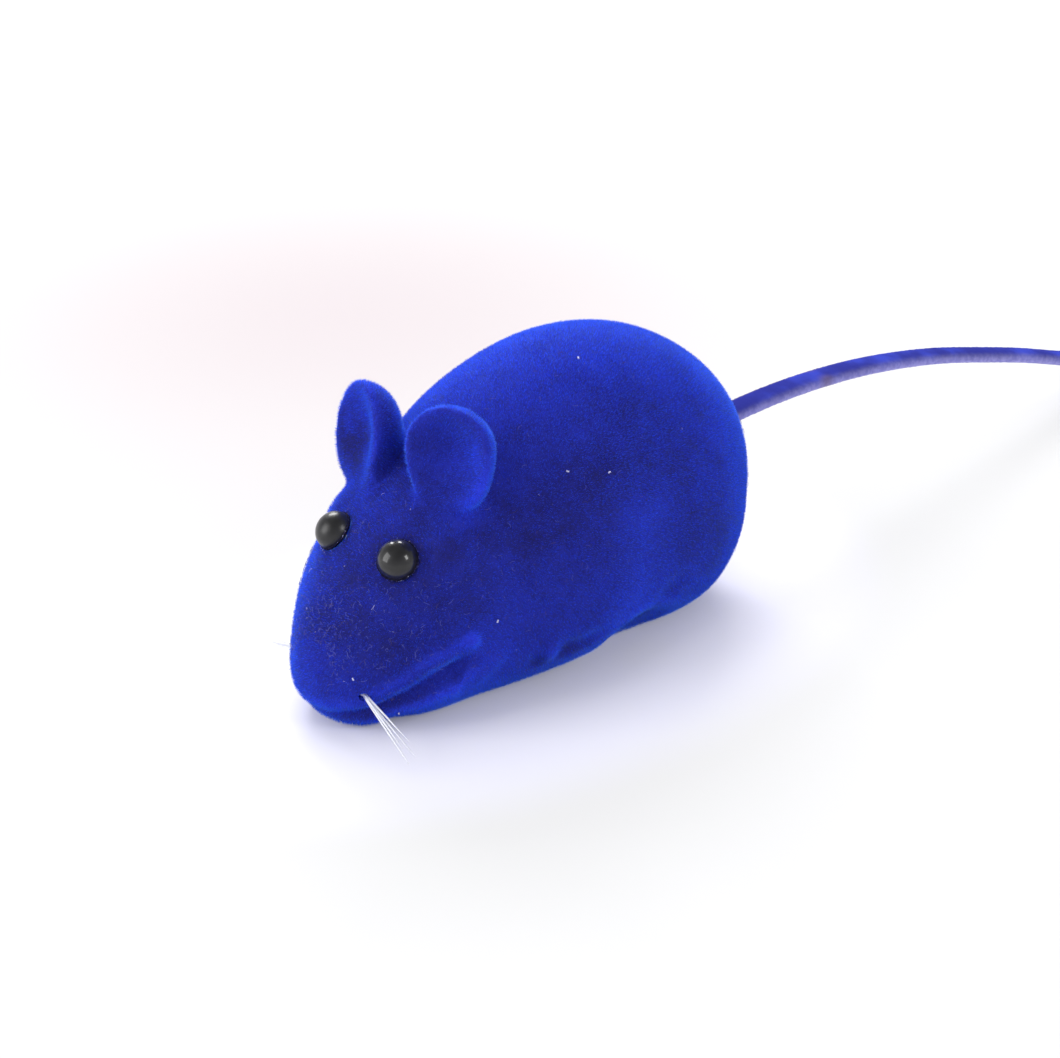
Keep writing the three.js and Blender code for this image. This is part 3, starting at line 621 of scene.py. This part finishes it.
def turned_solid(name, profile, centre, axis, steps, *finishes):
    """Spins a closed profile of (radius, height) round an axis."""
    made = bmesh.new()
    corners = [made.verts.new((radius, 0, height)) for radius, height in profile]
    edges = [made.edges.new(pair) for pair in zip(corners, corners[1:])]
    bmesh.ops.spin(made, geom=corners + edges, cent=(0, 0, 0), axis=(0, 0, 1), angle=math.tau,
                   steps=steps, use_merge=True)
    bmesh.ops.remove_doubles(made, verts=made.verts, dist=1e-7)
    bmesh.ops.recalc_face_normals(made, faces=made.faces)
    turn = Vector((0, 0, 1)).rotation_difference(Vector(axis)).to_matrix().to_4x4()
    bmesh.ops.transform(made, matrix=Matrix.Translation(Vector(centre)) @ turn, verts=made.verts)
    return finished(made, name, *finishes)


cavity, _ = body_form("cavity", 110, 132, lambda relief: np.minimum(relief, 0) - shell_wall,
                      shell_wall + flock_depth)
cutters = [cavity]
for side in (1, -1):
    point, normal = eye_at(side)
    socket, peg = eye_diameter / 2 + socket_gap, eye_peg / 2 + gap
    cutters.append(turned_solid("socket", [
        (0, -peg_bore), (peg, -peg_bore), (peg, -eye_socket_depth), (socket, -eye_socket_depth),
        (socket, overrun), (0, overrun)], point, normal, 96))
left_exit = Vector(body_skin(*left_whisker_place)[0])
right_exit = Vector(body_skin(*right_whisker_place)[0])
whisker_axis = (left_exit - right_exit).normalized()
span = (left_exit - right_exit).length
cutters.append(turned_solid("whisker_bore", [
    (0, -overrun), (bore_radius, -overrun), (bore_radius, span + overrun), (0, span + overrun)],
    right_exit, whisker_axis, 24))
cutters.append(turned_solid("squeaker_hole", [
    (0, -overrun), (flange_radius, -overrun), (flange_radius, flange_depth),
    (seat_radius, flange_depth), (seat_radius, seat_depth), (0, seat_depth)],
    (0, squeaker_along, 0), (0, 0, 1), 96))
made = bmesh.new()
bmesh.ops.create_cube(made, size=1)
bmesh.ops.scale(made, vec=(slot_width, slot_depth, slot_height), verts=made.verts)
bmesh.ops.translate(made, vec=(0, rump_outside - shell_wall / 2, tail_exit_height),
                    verts=made.verts)
cutters.append(finished(made, "tail_slot"))

ground_for_flock = moulding.data.copy()
for cutter in cutters:
    settled(moulding, "BOOLEAN", operation="DIFFERENCE", object=cutter, solver="MANIFOLD")
    bpy.data.objects.remove(cutter)


# Flock. Short nylon fibres, dyed royal blue, stand on end in the glue all over the moulding. The
# facing side looks into the pile and is deep blue, and the grazing edges catch the light.
sheen_tint = (0.08, 0.24, 1, 1)
skin_finish = Finish("flock_ground", Roughness=0.95, Specular_IOR_Level=0.05, Sheen_Weight=1.0,
                     Sheen_Roughness=0.4, Sheen_Tint=sheen_tint)
nap = skin_finish.grain(130, 3)
pile = skin_finish.grain(2400, 2, 0.6)
# the pile's colour goes from dark to light by a stored share: random mottles of the nap, with
# painted highlights and painted shade
nap_and_painted_light = skin_finish.node("ShaderNodeAttribute", {"attribute_name": "nap_and_painted_light"}).outputs["Fac"]
shade = skin_finish.between(nap * 0.4 + pile * 0.6, 0.3, 0.7)
dark_pile_and_painted_shade = skin_finish.mixed(shade, (0.011, 0.010, 0.06, 1), (0.015, 0.015, 0.115, 1))
light_pile_and_painted_light = skin_finish.mixed(shade, (0.019, 0.026, 0.36, 1), (0.029, 0.052, 0.65, 1))
skin_finish.shade(Base_Color=skin_finish.mixed(nap_and_painted_light, dark_pile_and_painted_shade, light_pile_and_painted_light))
skin_finish.bump(pile, 0.4, 0.15 * mm)
# painted highlights and painted shade on the pile, the same on both sides: lighter on the knob,
# the paw, the jaw and the top of the back, darker in the recesses by the paw, in the haunch's
# fold, between the ears and on the middle of the flank
painted_light_patches = [
    # way, turn, radius, how much lighter
    (0.347, 0.24, 0.9, 0.7), (0.388, 0.285, 2.4, 0.2), (0.441, 0.316, 1.0, 0.45),
    (0.50, 0.27, 4.5, 0.14), (0.53, 0.285, 4.0, 0.2), (0.45, 0.04, 8.0, 0.12),
    (0.55, 0.04, 8.0, 0.16), (0.40, 0.13, 3.0, -0.08), (0.62, 0.235, 5.0, -0.1),
    (0.60, 0.19, 3.5, -0.12), (0.47, 0.17, 7.0, -0.09), (0.52, 0.14, 7.0, -0.1),
    (0.26, 0.21, 6.0, -0.08), (0.35, 0.3, 4.0, 0.16), (0.3, 0.31, 3.5, 0.16),
    (0.309, 0.072, 3.2, -0.24), (0.36, 0.05, 2.4, -0.06), (0.435, 0.327, 1.0, -0.25),
    (0.462, 0.322, 1.5, -0.3), (0.481, 0.318, 1.5, -0.2), (0.57, 0.308, 2.0, -0.25),
    (0.536, 0.325, 0.9, 0.4), (0.545, 0.347, 2.4, -0.9), (0.365, 0.335, 3.5, 0.12),
    (0.192, 0.296, 3.0, 0.08), (0.334, 0.983, 2.5, -0.14), (0.359, 0.112, 2.2, -0.08),
    (0.22, 0.0, 5.0, -0.08),
]
mottles = [
    # size, how much lighter or darker
    (7.0, 0.13), (2.6, 0.13), (1.1, 0.08),
]
# painted highlights on the rims of the ears, most of all low on the near ear's outer side, and on
# the near ear's front; painted shade on the far ear
painted_ear_light = [
    # ear, round it, up it, radius, how much lighter
    (0, 0.02, 0.42, 1.3, 0.4), (0, 0.985, 0.34, 1.4, 0.65), (0, 0.94, 0.255, 1.5, 0.65),
    (0, 0.915, 0.16, 1.5, 0.45), (0, 0.75, 0.45, 3.2, 0.2), (0, 0.75, 0.05, 3.0, 0.14),
    (1, 0.70, 0.42, 3.2, -0.26), (1, 0.04, 0.45, 2.0, -0.1),
]
rim_points = []
for values in ears:
    climb = np.linspace(0.16, 1, 60)
    for side in (0, 0.5):
        rim_points.append(ear_skin(*values)(np.full(60, side), climb))
rim_tree = near_tree(np.vstack(rim_points))
# a painted highlight along the rims of the ears: how much lighter, how wide, and above which
# height
painted_rim_highlight, rim_width, rim_lowest = 0.3, 0.7 * mm, 20 * mm
plain_nap = 0.26


def of_corners(mesh, what):
    values = np.empty(len(mesh.vertices) * 3)
    mesh.vertices.foreach_get(what, values)
    return values.reshape(-1, 3)


def nap_and_painted_light_of(mesh):
    """How light each corner of a mesh is painted, from 0 to 1: random mottles of the nap, with
    painted highlights and painted shade from the relief, the patches and the rims of the ears.
    """
    corners = of_corners(mesh, "co")
    lighter = plain_nap + pressed(corners, of_corners(mesh, "normal"))[1]
    folded = folded_over(corners)
    for way, turn, radius, amount in painted_light_patches:
        distance = np.linalg.norm(folded - body_skin(way, turn)[0], axis=1)
        lighter += amount * np.exp(-(distance / (radius * mm)) ** 2)
    for ear, around, up, radius, amount in painted_ear_light:
        centre = ear_skin(*ears[ear])(np.array([around]), np.array([up]))[0]
        distance = np.linalg.norm(corners - centre, axis=1)
        lighter += amount * np.exp(-(distance / (radius * mm)) ** 2)
    for i, corner in enumerate(corners):
        # painted highlight along the rims of the ears
        if corner[2] > rim_lowest and corner[1] < 0:
            from_rim = rim_tree.find(corner)[2]
            lighter[i] += painted_rim_highlight * math.exp(-(from_rim / rim_width) ** 2)
        for size, amount in mottles:
            lighter[i] += amount * noise.noise(Vector(corner) / (size * mm))
    return np.clip(lighter, 0, 1)


# the painted highlights and painted shade, with the nap's random mottles, are stored on the
# moulding
layer = moulding.data.attributes.new("nap_and_painted_light", "FLOAT", "POINT")
layer.data.foreach_set("value", nap_and_painted_light_of(moulding.data))
moulding.data.materials.clear()
moulding.data.materials.append(skin_finish.material)
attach(moulding, "mouse_body")
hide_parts("body_shell")


def laid_fibres(name, ground, density, length, seed, colour, layer):
    """Plants fibres on a mesh: thin three-sided spikes, each with its own length and lean."""
    finish = Finish(name, Base_Color=(*colour, 1), Roughness=0.7, Specular_IOR_Level=0.05,
                    Sheen_Weight=1.0, Sheen_Roughness=0.3, Sheen_Tint=sheen_tint)
    group = bpy.data.node_groups.new(name, "GeometryNodeTree")
    for end in ("INPUT", "OUTPUT"):
        group.interface.new_socket("Geometry", in_out=end, socket_type="NodeSocketGeometry")
    tree = Tree(group)
    planted = tree.number("GeometryNodeInputNamedAttribute", {"data_type": "FLOAT"}, Name=layer)
    scatter = tree.node("GeometryNodeDistributePointsOnFaces", {"distribute_method": "RANDOM"},
                        Mesh=tree.node("NodeGroupInput").outputs[0],
                        Density=planted * (density / mm**2), Seed=seed).outputs
    spike = tree.node("GeometryNodeMeshCone", {"fill_type": "NGON"}, Vertices=3, Radius_Top=0.0,
                      Radius_Bottom=fibre_radius, Depth=1.0 * mm)
    lean = tree.node("FunctionNodeRandomValue", {"data_type": "FLOAT_VECTOR"},
                     (-fibre_lean, -fibre_lean, -3.14), (fibre_lean, fibre_lean, 3.14),
                     Seed=seed + 1)
    turned = tree.node("FunctionNodeRotateRotation", {"rotation_space": "LOCAL"},
                       scatter["Rotation"], lean.outputs[0])
    tall = tree.node("FunctionNodeRandomValue", {"data_type": "FLOAT"}, Seed=seed + 2)
    tall.inputs[2].default_value = length - fibre_shorter
    tall.inputs[3].default_value = length + fibre_longer
    size = tree.node("ShaderNodeCombineXYZ", None, 1.0, 1.0, tall.outputs[1])
    facing = tree.node("GeometryNodeStoreNamedAttribute",
                       {"data_type": "FLOAT_VECTOR", "domain": "POINT"},
                       Geometry=scatter["Points"], Name="facing", Value=scatter["Normal"])
    placed = tree.node("GeometryNodeInstanceOnPoints", None, Points=facing.outputs[0],
                       Instance=spike.outputs[0], Rotation=turned.outputs[0],
                       Scale=size.outputs[0])
    real = tree.node("GeometryNodeRealizeInstances", None, placed.outputs[0])
    coat = tree.node("GeometryNodeSetMaterial", None, real.outputs[0], Material=finish.material)
    tree.node("NodeGroupOutput", None, coat.outputs[0])

    piece = new_object(name, ground.copy())
    settled(piece, "NODES", node_group=group)
    bpy.data.node_groups.remove(group)
    # the pile takes the light as one surface, so each fibre is shaded mostly as the skin under it
    mesh = piece.data
    facing = np.empty(len(mesh.vertices) * 3)
    mesh.attributes["facing"].data.foreach_get("vector", facing)
    shaded = facing.reshape(-1, 3) * skin_shading + of_corners(mesh, "normal") * (1 - skin_shading)
    shaded /= np.linalg.norm(shaded, axis=1)[:, None]
    mesh.attributes.remove(mesh.attributes["facing"])
    mesh.normals_split_custom_set_from_vertices(shaded)
    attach(piece, "mouse_body")


# no fibre grows in the sockets, the squeaker's hole and the tail's slot, or under the belly
bare_edge, bare_belly = 0.02 * mm, 0.35 * mm
corners = of_corners(ground_for_flock, "co")
planted = np.ones(len(corners))
for side in (1, -1):
    point, normal = eye_at(side)
    offset = corners - point
    radial = np.linalg.norm(offset - (offset @ normal)[:, None] * normal, axis=1)
    planted[(radial < eye_diameter / 2 + bare_edge) & (np.abs(offset @ normal) < overrun)] = 0
planted[(np.hypot(corners[:, 0], corners[:, 1] - squeaker_along) < flange_radius)
        & (corners[:, 2] < overrun)] = 0
planted[(np.abs(corners[:, 0]) < slot_width / 2) & (corners[:, 1] > 0)
        & (np.abs(corners[:, 2] - tail_exit_height) < slot_height / 2)] = 0
planted[corners[:, 2] < bare_belly] = 0
# the nap's mottles and the painted highlights and shade also set the mix of fibres: more deep
# fibres where it is painted darker, more light ones where it is painted lighter
pile_nap_and_painted_light = nap_and_painted_light_of(ground_for_flock)
for name, share in (("deep", 1.25 - 0.8 * pile_nap_and_painted_light),
                    ("royal", np.interp(pile_nap_and_painted_light, (0, plain_nap, 1), (0.3, 0.98, 1.2))),
                    ("light", np.interp(pile_nap_and_painted_light, (0, plain_nap, 1), (0.05, 0.92, 2.4)))):
    layer = ground_for_flock.attributes.new(name, "FLOAT", "POINT")
    layer.data.foreach_set("value", planted * share)

skin_area = sum(face.area for face in ground_for_flock.polygons) / mm**2
fibres_a_piece = 46000
fibre_radius, fibre_lean, fibre_shorter, fibre_longer = 0.019 * mm, 0.3, 0.1, 0.06
skin_shading = 0.82
pile_colours = {"deep": (0.0145, 0.021, 0.41), "royal": (0.018, 0.045, 0.8),
                "light": (0.026, 0.1, 1.0)}
fibre_lots = [("deep", 0.28), ("deep", 0.28), ("deep", 0.3), ("royal", 0.28), ("royal", 0.3),
              ("royal", 0.3), ("light", 0.3), ("light", 0.32)]
for number, (colour, length) in enumerate(fibre_lots):
    laid_fibres(f"flock_{number + 1}", ground_for_flock, fibres_a_piece / skin_area, length,
                11 + 7 * number, pile_colours[colour], colour)


# Lint. Short curled fibres, brownish, lavender and white, cling to the pile, most of them on the
# muzzle round the eyes. A few white specks lie on the back and the flank.
lint_finishes = [Finish("rose_lint", Base_Color=(0.05, 0.032, 0.12, 1), Roughness=0.9),
                 Finish("lavender_lint", Base_Color=(0.08, 0.09, 0.36, 1), Roughness=0.9),
                 Finish("white_lint", Base_Color=(0.45, 0.46, 0.65, 1), Roughness=0.9)]
lint_count, rim_lint_count, lint_thickness = 1300, 60, 0.02 * mm
speck_length, speck_thickness = 0.3 * mm, 0.1 * mm
# the shares of brownish, lavender and white, on the muzzle and at the rims of the eyes
lint_shares, rim_lint_shares = (0.36, 0.615, 0.025), (0.45, 0.43, 0.12)
lint_ways, lint_turn = (0.16, 0.75), 0.34
specks = [(0.543, 0.045), (0.473, 0.135), (0.508, 0.158), (0.378, 0.238), (0.21, 0.257),
          (0.284, 0.369)]
chance = random.Random(5)


def tube_skin(way, radii, upward):
    """Sweeps a round section along a way, with a radius for each of its points."""
    across, above = cross_ways(way, upward)

    def place(along, around):
        i = np.round(along * (len(way) - 1)).astype(int)
        angle = 2 * np.pi * around
        out = across[i] * np.cos(angle)[:, None] + above[i] * np.sin(angle)[:, None]
        return way[i] + out * radii[i][:, None]

    return place


def lint_fibre(centre, normal, length, turn, curl, finish_number, thickness):
    along = Vector(normal).orthogonal().normalized()
    along.rotate(Matrix.Rotation(turn, 3, Vector(normal)))
    across = Vector(normal).cross(along)
    way = []
    for step in range(6):
        u = step / 5 - 0.5
        way.append(Vector(centre) + along * (u * length)
                   + across * (curl * (u * u - 0.08) * length)
                   + Vector(normal) * (0.25 - u * u) * length * 0.25)
    fibre = wrapped_grid(len(way) - 1, 3,
                         tube_skin(np.array(way), np.full(len(way), thickness), normal), 1e-7)
    for face in fibre.faces:
        face.material_index = finish_number
    return fibre


lint = bmesh.new()
scrap = bpy.data.meshes.new("scrap")


def cling(fibre):
    fibre.to_mesh(scrap)
    fibre.free()
    lint.from_mesh(scrap)


laid = 0
while laid < lint_count:
    way, turn = chance.uniform(*lint_ways), chance.uniform(-lint_turn, lint_turn)
    crowd = math.exp(-((way - 0.26) / 0.15) ** 2) * math.exp(-((abs(turn) - 0.1) / 0.18) ** 4)
    if chance.random() > 0.95 * crowd + 0.07:
        continue
    laid += 1
    point, normal = skin_place(way, turn % 1)
    kind = chance.choices((0, 1, 2), lint_shares)[0]
    length = 0.15 + 0.6 * chance.random() ** 2.5
    cling(lint_fibre(point + normal * 0.02 * mm, normal, length * mm,
                     chance.uniform(0, math.tau), chance.uniform(-1.3, 1.3), kind,
                     lint_thickness * chance.uniform(0.7, 1.15)))
for side in (1, -1):
    point, normal = eye_at(side)
    across = Vector(normal).orthogonal().normalized()
    for _ in range(rim_lint_count):
        out = across.copy()
        out.rotate(Matrix.Rotation(chance.uniform(0, math.tau), 3, Vector(normal)))
        centre = Vector(point) + out * (eye_diameter / 2 + chance.uniform(0.02, 0.22) * mm)
        cling(lint_fibre(centre, normal, chance.uniform(0.08, 0.26) * mm,
                         chance.uniform(0, math.tau), chance.uniform(-1, 1),
                         chance.choices((0, 1, 2), rim_lint_shares)[0], lint_thickness))
for way, turn in specks:
    point, normal = skin_place(way, turn)
    cling(lint_fibre(point + normal * 0.05 * mm, normal, speck_length,
                     chance.uniform(0, math.tau), 0.5, 2, speck_thickness))
lint_piece = finished(lint, "lint", *lint_finishes)
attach(lint_piece, "mouse_body")


# Eyes. Polished black beads of hard plastic, each with a peg. Each is pushed into its socket, and
# the dark glue that holds it shows as a thin ragged ring.
def bead_finish(name, gloss, gloss_roughness):
    finish = Finish(name, Coat_Weight=gloss, Coat_Roughness=gloss_roughness,
                    Specular_IOR_Level=0.25)
    haze = finish.grain(900, 3)
    finish.shade(Base_Color=finish.mixed(haze, (0.006, 0.006, 0.007, 1), (0.016, 0.016, 0.016, 1)),
                 Roughness=finish.between(haze, 0.3, 0.8) * 0.12 + 0.3)
    return finish


# the right bead has been rubbed dull
bead_finishes = {"left": bead_finish("black_bead", 0.5, 0.05),
                 "right": bead_finish("rubbed_bead", 0.4, 0.36)}
eye_peg_length, bead_foot = 3.2 * mm, 0.985
glue_gap, glue_width, glue_depth, glue_sunk = 0.03 * mm, 0.09 * mm, 0.14 * mm, 0.1 * mm
smear_reach, smear_out, smear_up = 0.15 * mm, 0.16 * mm, 0.08 * mm
glue_finish = Finish("dark_glue", Roughness=1.0, Specular_IOR_Level=0.1)
glue_grain = glue_finish.grain(3600, 3)
glue_crumbs = glue_finish.between(glue_grain, 0.66, 0.72)
glue_finish.shade(Base_Color=glue_finish.mixed(glue_crumbs, (0.006, 0.006, 0.022, 1),
                                               (0.12, 0.09, 0.10, 1)))
glue_finish.bump(glue_grain, 0.6, 0.1 * mm)
for side, name in ((1, "left"), (-1, "right")):
    point, normal = eye_at(side)
    radius, foot = eye_diameter / 2, gap - eye_socket_depth
    profile = [(0, foot - eye_peg_length), (eye_peg / 2, foot - eye_peg_length),
               (eye_peg / 2, foot), (radius * bead_foot, foot)]
    for i in range(25):
        angle = math.pi / 2 * i / 24
        profile.append((radius * math.cos(angle), eye_dome * math.sin(angle)))
    profile[-1] = (0, eye_dome)
    bead = turned_solid(f"{name}_bead", profile, point, normal, 72, bead_finishes[name])
    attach(bead, "mouse_body")
    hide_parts(f"{name}_eye")
    ring = []
    for i in range(17):
        angle = math.tau * i / 16
        ring.append((radius + glue_gap + glue_width * math.cos(angle),
                     glue_depth * math.sin(angle) - glue_sunk))
    glue = turned_solid(f"{name}_eye_glue", ring, point, normal, 180, glue_finish)
    for corner in glue.data.vertices:
        out = corner.co - Vector(point)
        out -= Vector(normal) * out.dot(Vector(normal))
        smear = max(0, out.length - radius) / smear_reach
        ragged = 0.5 * noise.noise(corner.co * 2200) + 0.9 * noise.noise(corner.co * 6000)
        corner.co += out.normalized() * smear * max(0, ragged) * smear_out
        corner.co += Vector(normal) * noise.noise(corner.co * 2500) * smear_up
    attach(glue, "mouse_body")


# Whiskers. Clear nylon strands in a bundle, which runs through the snout and fans out a little at
# both ends, where each strand thins to a point.
strand_finish = Finish("clear_nylon", Base_Color=(0.82, 0.83, 0.88, 1), Roughness=0.14, IOR=1.53,
                       Transmission_Weight=0.25, Coat_Weight=0.5)
strand_radius, strand_pitch, strand_fan = 0.107 * mm, 0.235 * mm, 1.2 * mm
strand_reach, strand_step, strand_forward = 8.6 * mm, 0.55 * mm, 1.5 * mm
left_drop, right_drop = 2.5 * mm, 0.3 * mm
bundle_inside, bend_inside, bend_outside = 2.2 * mm, 0.75 * mm, 0.6 * mm
tip_share, thinning = 0.25, 5
for number in range(4):
    column, row = number % 2 - 0.5, number // 2 - 0.5
    sideways = Vector((0, column, row))
    sideways -= whisker_axis * sideways.dot(whisker_axis)
    reach = strand_reach - strand_step * number
    ends = []
    for start, side, drop in ((right_exit, -1, right_drop), (left_exit, 1, left_drop)):
        mouth = start + sideways * strand_pitch
        tip = mouth + sideways * strand_fan + Vector((side * reach, -strand_forward, -drop))
        leaving = (tip - mouth).normalized()
        ends.append([mouth - whisker_axis * side * bundle_inside, mouth - leaving * bend_inside,
                     mouth + leaving * bend_outside, mouth.lerp(tip, 0.5), tip])
    way, _ = smooth_way([*reversed(ends[0]), *ends[1]], 90)
    steps = np.arange(len(way))
    from_end = np.minimum(steps, steps[::-1]) / steps[-1]
    radii = strand_radius * np.clip(tip_share + from_end * thinning, 0, 1)
    made = wrapped_grid(len(way) - 1, 10, tube_skin(way, radii, [0, 0, 1]), 1e-7)
    strand = finished(made, f"strand_{number + 1}", strand_finish)
    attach(strand, "mouse_body")
    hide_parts(f"whisker_{number + 1}")


# Squeaker. A flanged cup of natural plastic is pressed into the belly, with a vent in its floor.
# The slotted plate, the film reed and the perforated lid lie inside it.
plastic = Finish("natural_plastic", Roughness=0.42)
cloud = plastic.grain(320, 3)
plastic.shade(Base_Color=plastic.mixed(cloud, (0.70, 0.69, 0.62, 1), (0.80, 0.79, 0.74, 1)),
              Roughness=cloud * 0.15 + 0.35)
plastic.bump(plastic.grain(2400, 2), 0.1, 0.05 * mm)
film = Finish("film", Roughness=0.3)
streak = film.grain(500, 2)
film.shade(Base_Color=film.mixed(streak, (0.55, 0.48, 0.30, 1), (0.66, 0.60, 0.42, 1)),
           Roughness=streak * 0.15 + 0.22)
for node_name, finish in (("squeaker_case", plastic), ("reed_plate", plastic),
                          ("squeaker_cap", plastic), ("reed", film)):
    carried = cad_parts[node_name]
    carried.data.materials.clear()
    carried.data.materials.append(finish.material)


# Stage. A plain white surface under soft light: a bright strip before a broad panel behind the
# toy, a panel overhead, a tall window on the left and a small lamp on the right.
made = bmesh.new()
bmesh.ops.create_grid(made, x_segments=1, y_segments=1, size=2.0)
paper = Finish("white_paper", Roughness=0.9, Specular_IOR_Level=0.0)
floor = finished(made, "floor", paper)
paper_x, paper_y, _ = (Shares(paper, socket) for socket in paper.node(
    "ShaderNodeSeparateXYZ", None, paper.places).outputs)
sight = paper.node("ShaderNodeLightPath").outputs
seen = (Shares(paper, sight["Is Camera Ray"]) + Shares(paper, sight["Is Glossy Ray"])
        + Shares(paper, sight["Is Transmission Ray"]))
# a little away from the toy the paper is pure white, with a faint pink cast far behind; near the
# toy the paper glows a faint blue, a painted bounce light that lifts the toy's shadow
away = (paper_x * paper_x + paper_y * paper_y * 0.4).maths("SQRT")
away = paper.between(away, 0.022, 0.034)
cast_x, cast_y = paper_x + 0.086, paper_y - 0.052
cast = (cast_x * cast_x + cast_y * cast_y).maths("SQRT")
shine = paper.mixed(away, (0.15, 0.155, 0.195, 1), (0.5, 0.5, 0.5, 1))
shine = paper.mixed(paper.between(cast, 0.095, 0.0), shine, (0.36, 0.28, 0.30, 1))
paper_seen = paper.mixed(away, (0.62, 0.615, 0.655, 1), (0.28, 0.28, 0.28, 1))
paper.shade(Base_Color=paper.mixed(seen, (0.83, 0.83, 0.87, 1), paper_seen))
glow = paper.node("ShaderNodeEmission", None, Color=shine, Strength=seen)
both = paper.node("ShaderNodeAddShader", None, paper.shader.outputs[0], glow.outputs[0])
paper.join(both.outputs[0], paper.output.inputs["Surface"])

scene.world = bpy.data.worlds.new("studio")
scene.world.use_nodes = True
room = Tree(scene.world.node_tree)
outlook = room.node("ShaderNodeTexCoord").outputs["Generated"]
direction = room.node("ShaderNodeSeparateXYZ", None, outlook).outputs
gloss = Shares(room, room.node("ShaderNodeLightPath").outputs["Is Glossy Ray"])
# gloss sees the white room: pale at the horizon and dim overhead
daylight = 0.71
walls = room.number("ShaderNodeMapRange", None, direction[2], 0.0, 0.75, 0.85, 0.22)
room.set(room.tree.nodes["Background"], {
    "Color": (0.95, 0.95, 1.0, 1), "Strength": (walls - daylight) * gloss + daylight})
lamp_distance = 0.9
behind = (-0.09, 0.87, -0.49)


def panel(name, direction, width, height, power, in_gloss=True):
    """An area lamp that looks at the toy. direction is in the camera's right, up and back."""
    right = Vector((math.cos(view_azimuth), math.sin(view_azimuth), 0))
    above = towards_camera.cross(right)
    way = right * direction[0] + above * direction[1] + towards_camera * direction[2]
    lamp = bpy.data.objects.new(name, bpy.data.lights.new(name, "AREA"))
    lamp.data.shape = "RECTANGLE"
    lamp.data.size, lamp.data.size_y = width, height
    lamp.data.energy = power
    lamp.location = view_target + way.normalized() * lamp_distance
    lamp.rotation_euler = way.to_track_quat("Z", "Y").to_euler()
    lamp.visible_glossy = in_gloss
    scene.collection.objects.link(lamp)


panel("top_panel", behind, 0.58, 0.25, 8.0)
panel("back_panel", behind, 1.4, 0.9, 4.0, False)
panel("left_window", (-0.88, 0.24, 0.42), 0.5, 0.62, 4.6)
panel("right_lamp", (0.71, 0.27, 0.66), 0.24, 0.3, 2.4)
panel("overhead", (-0.3, 0.9, 0.25), 1.0, 1.0, 3.5, False)

scene.view_settings.view_transform = "Standard"
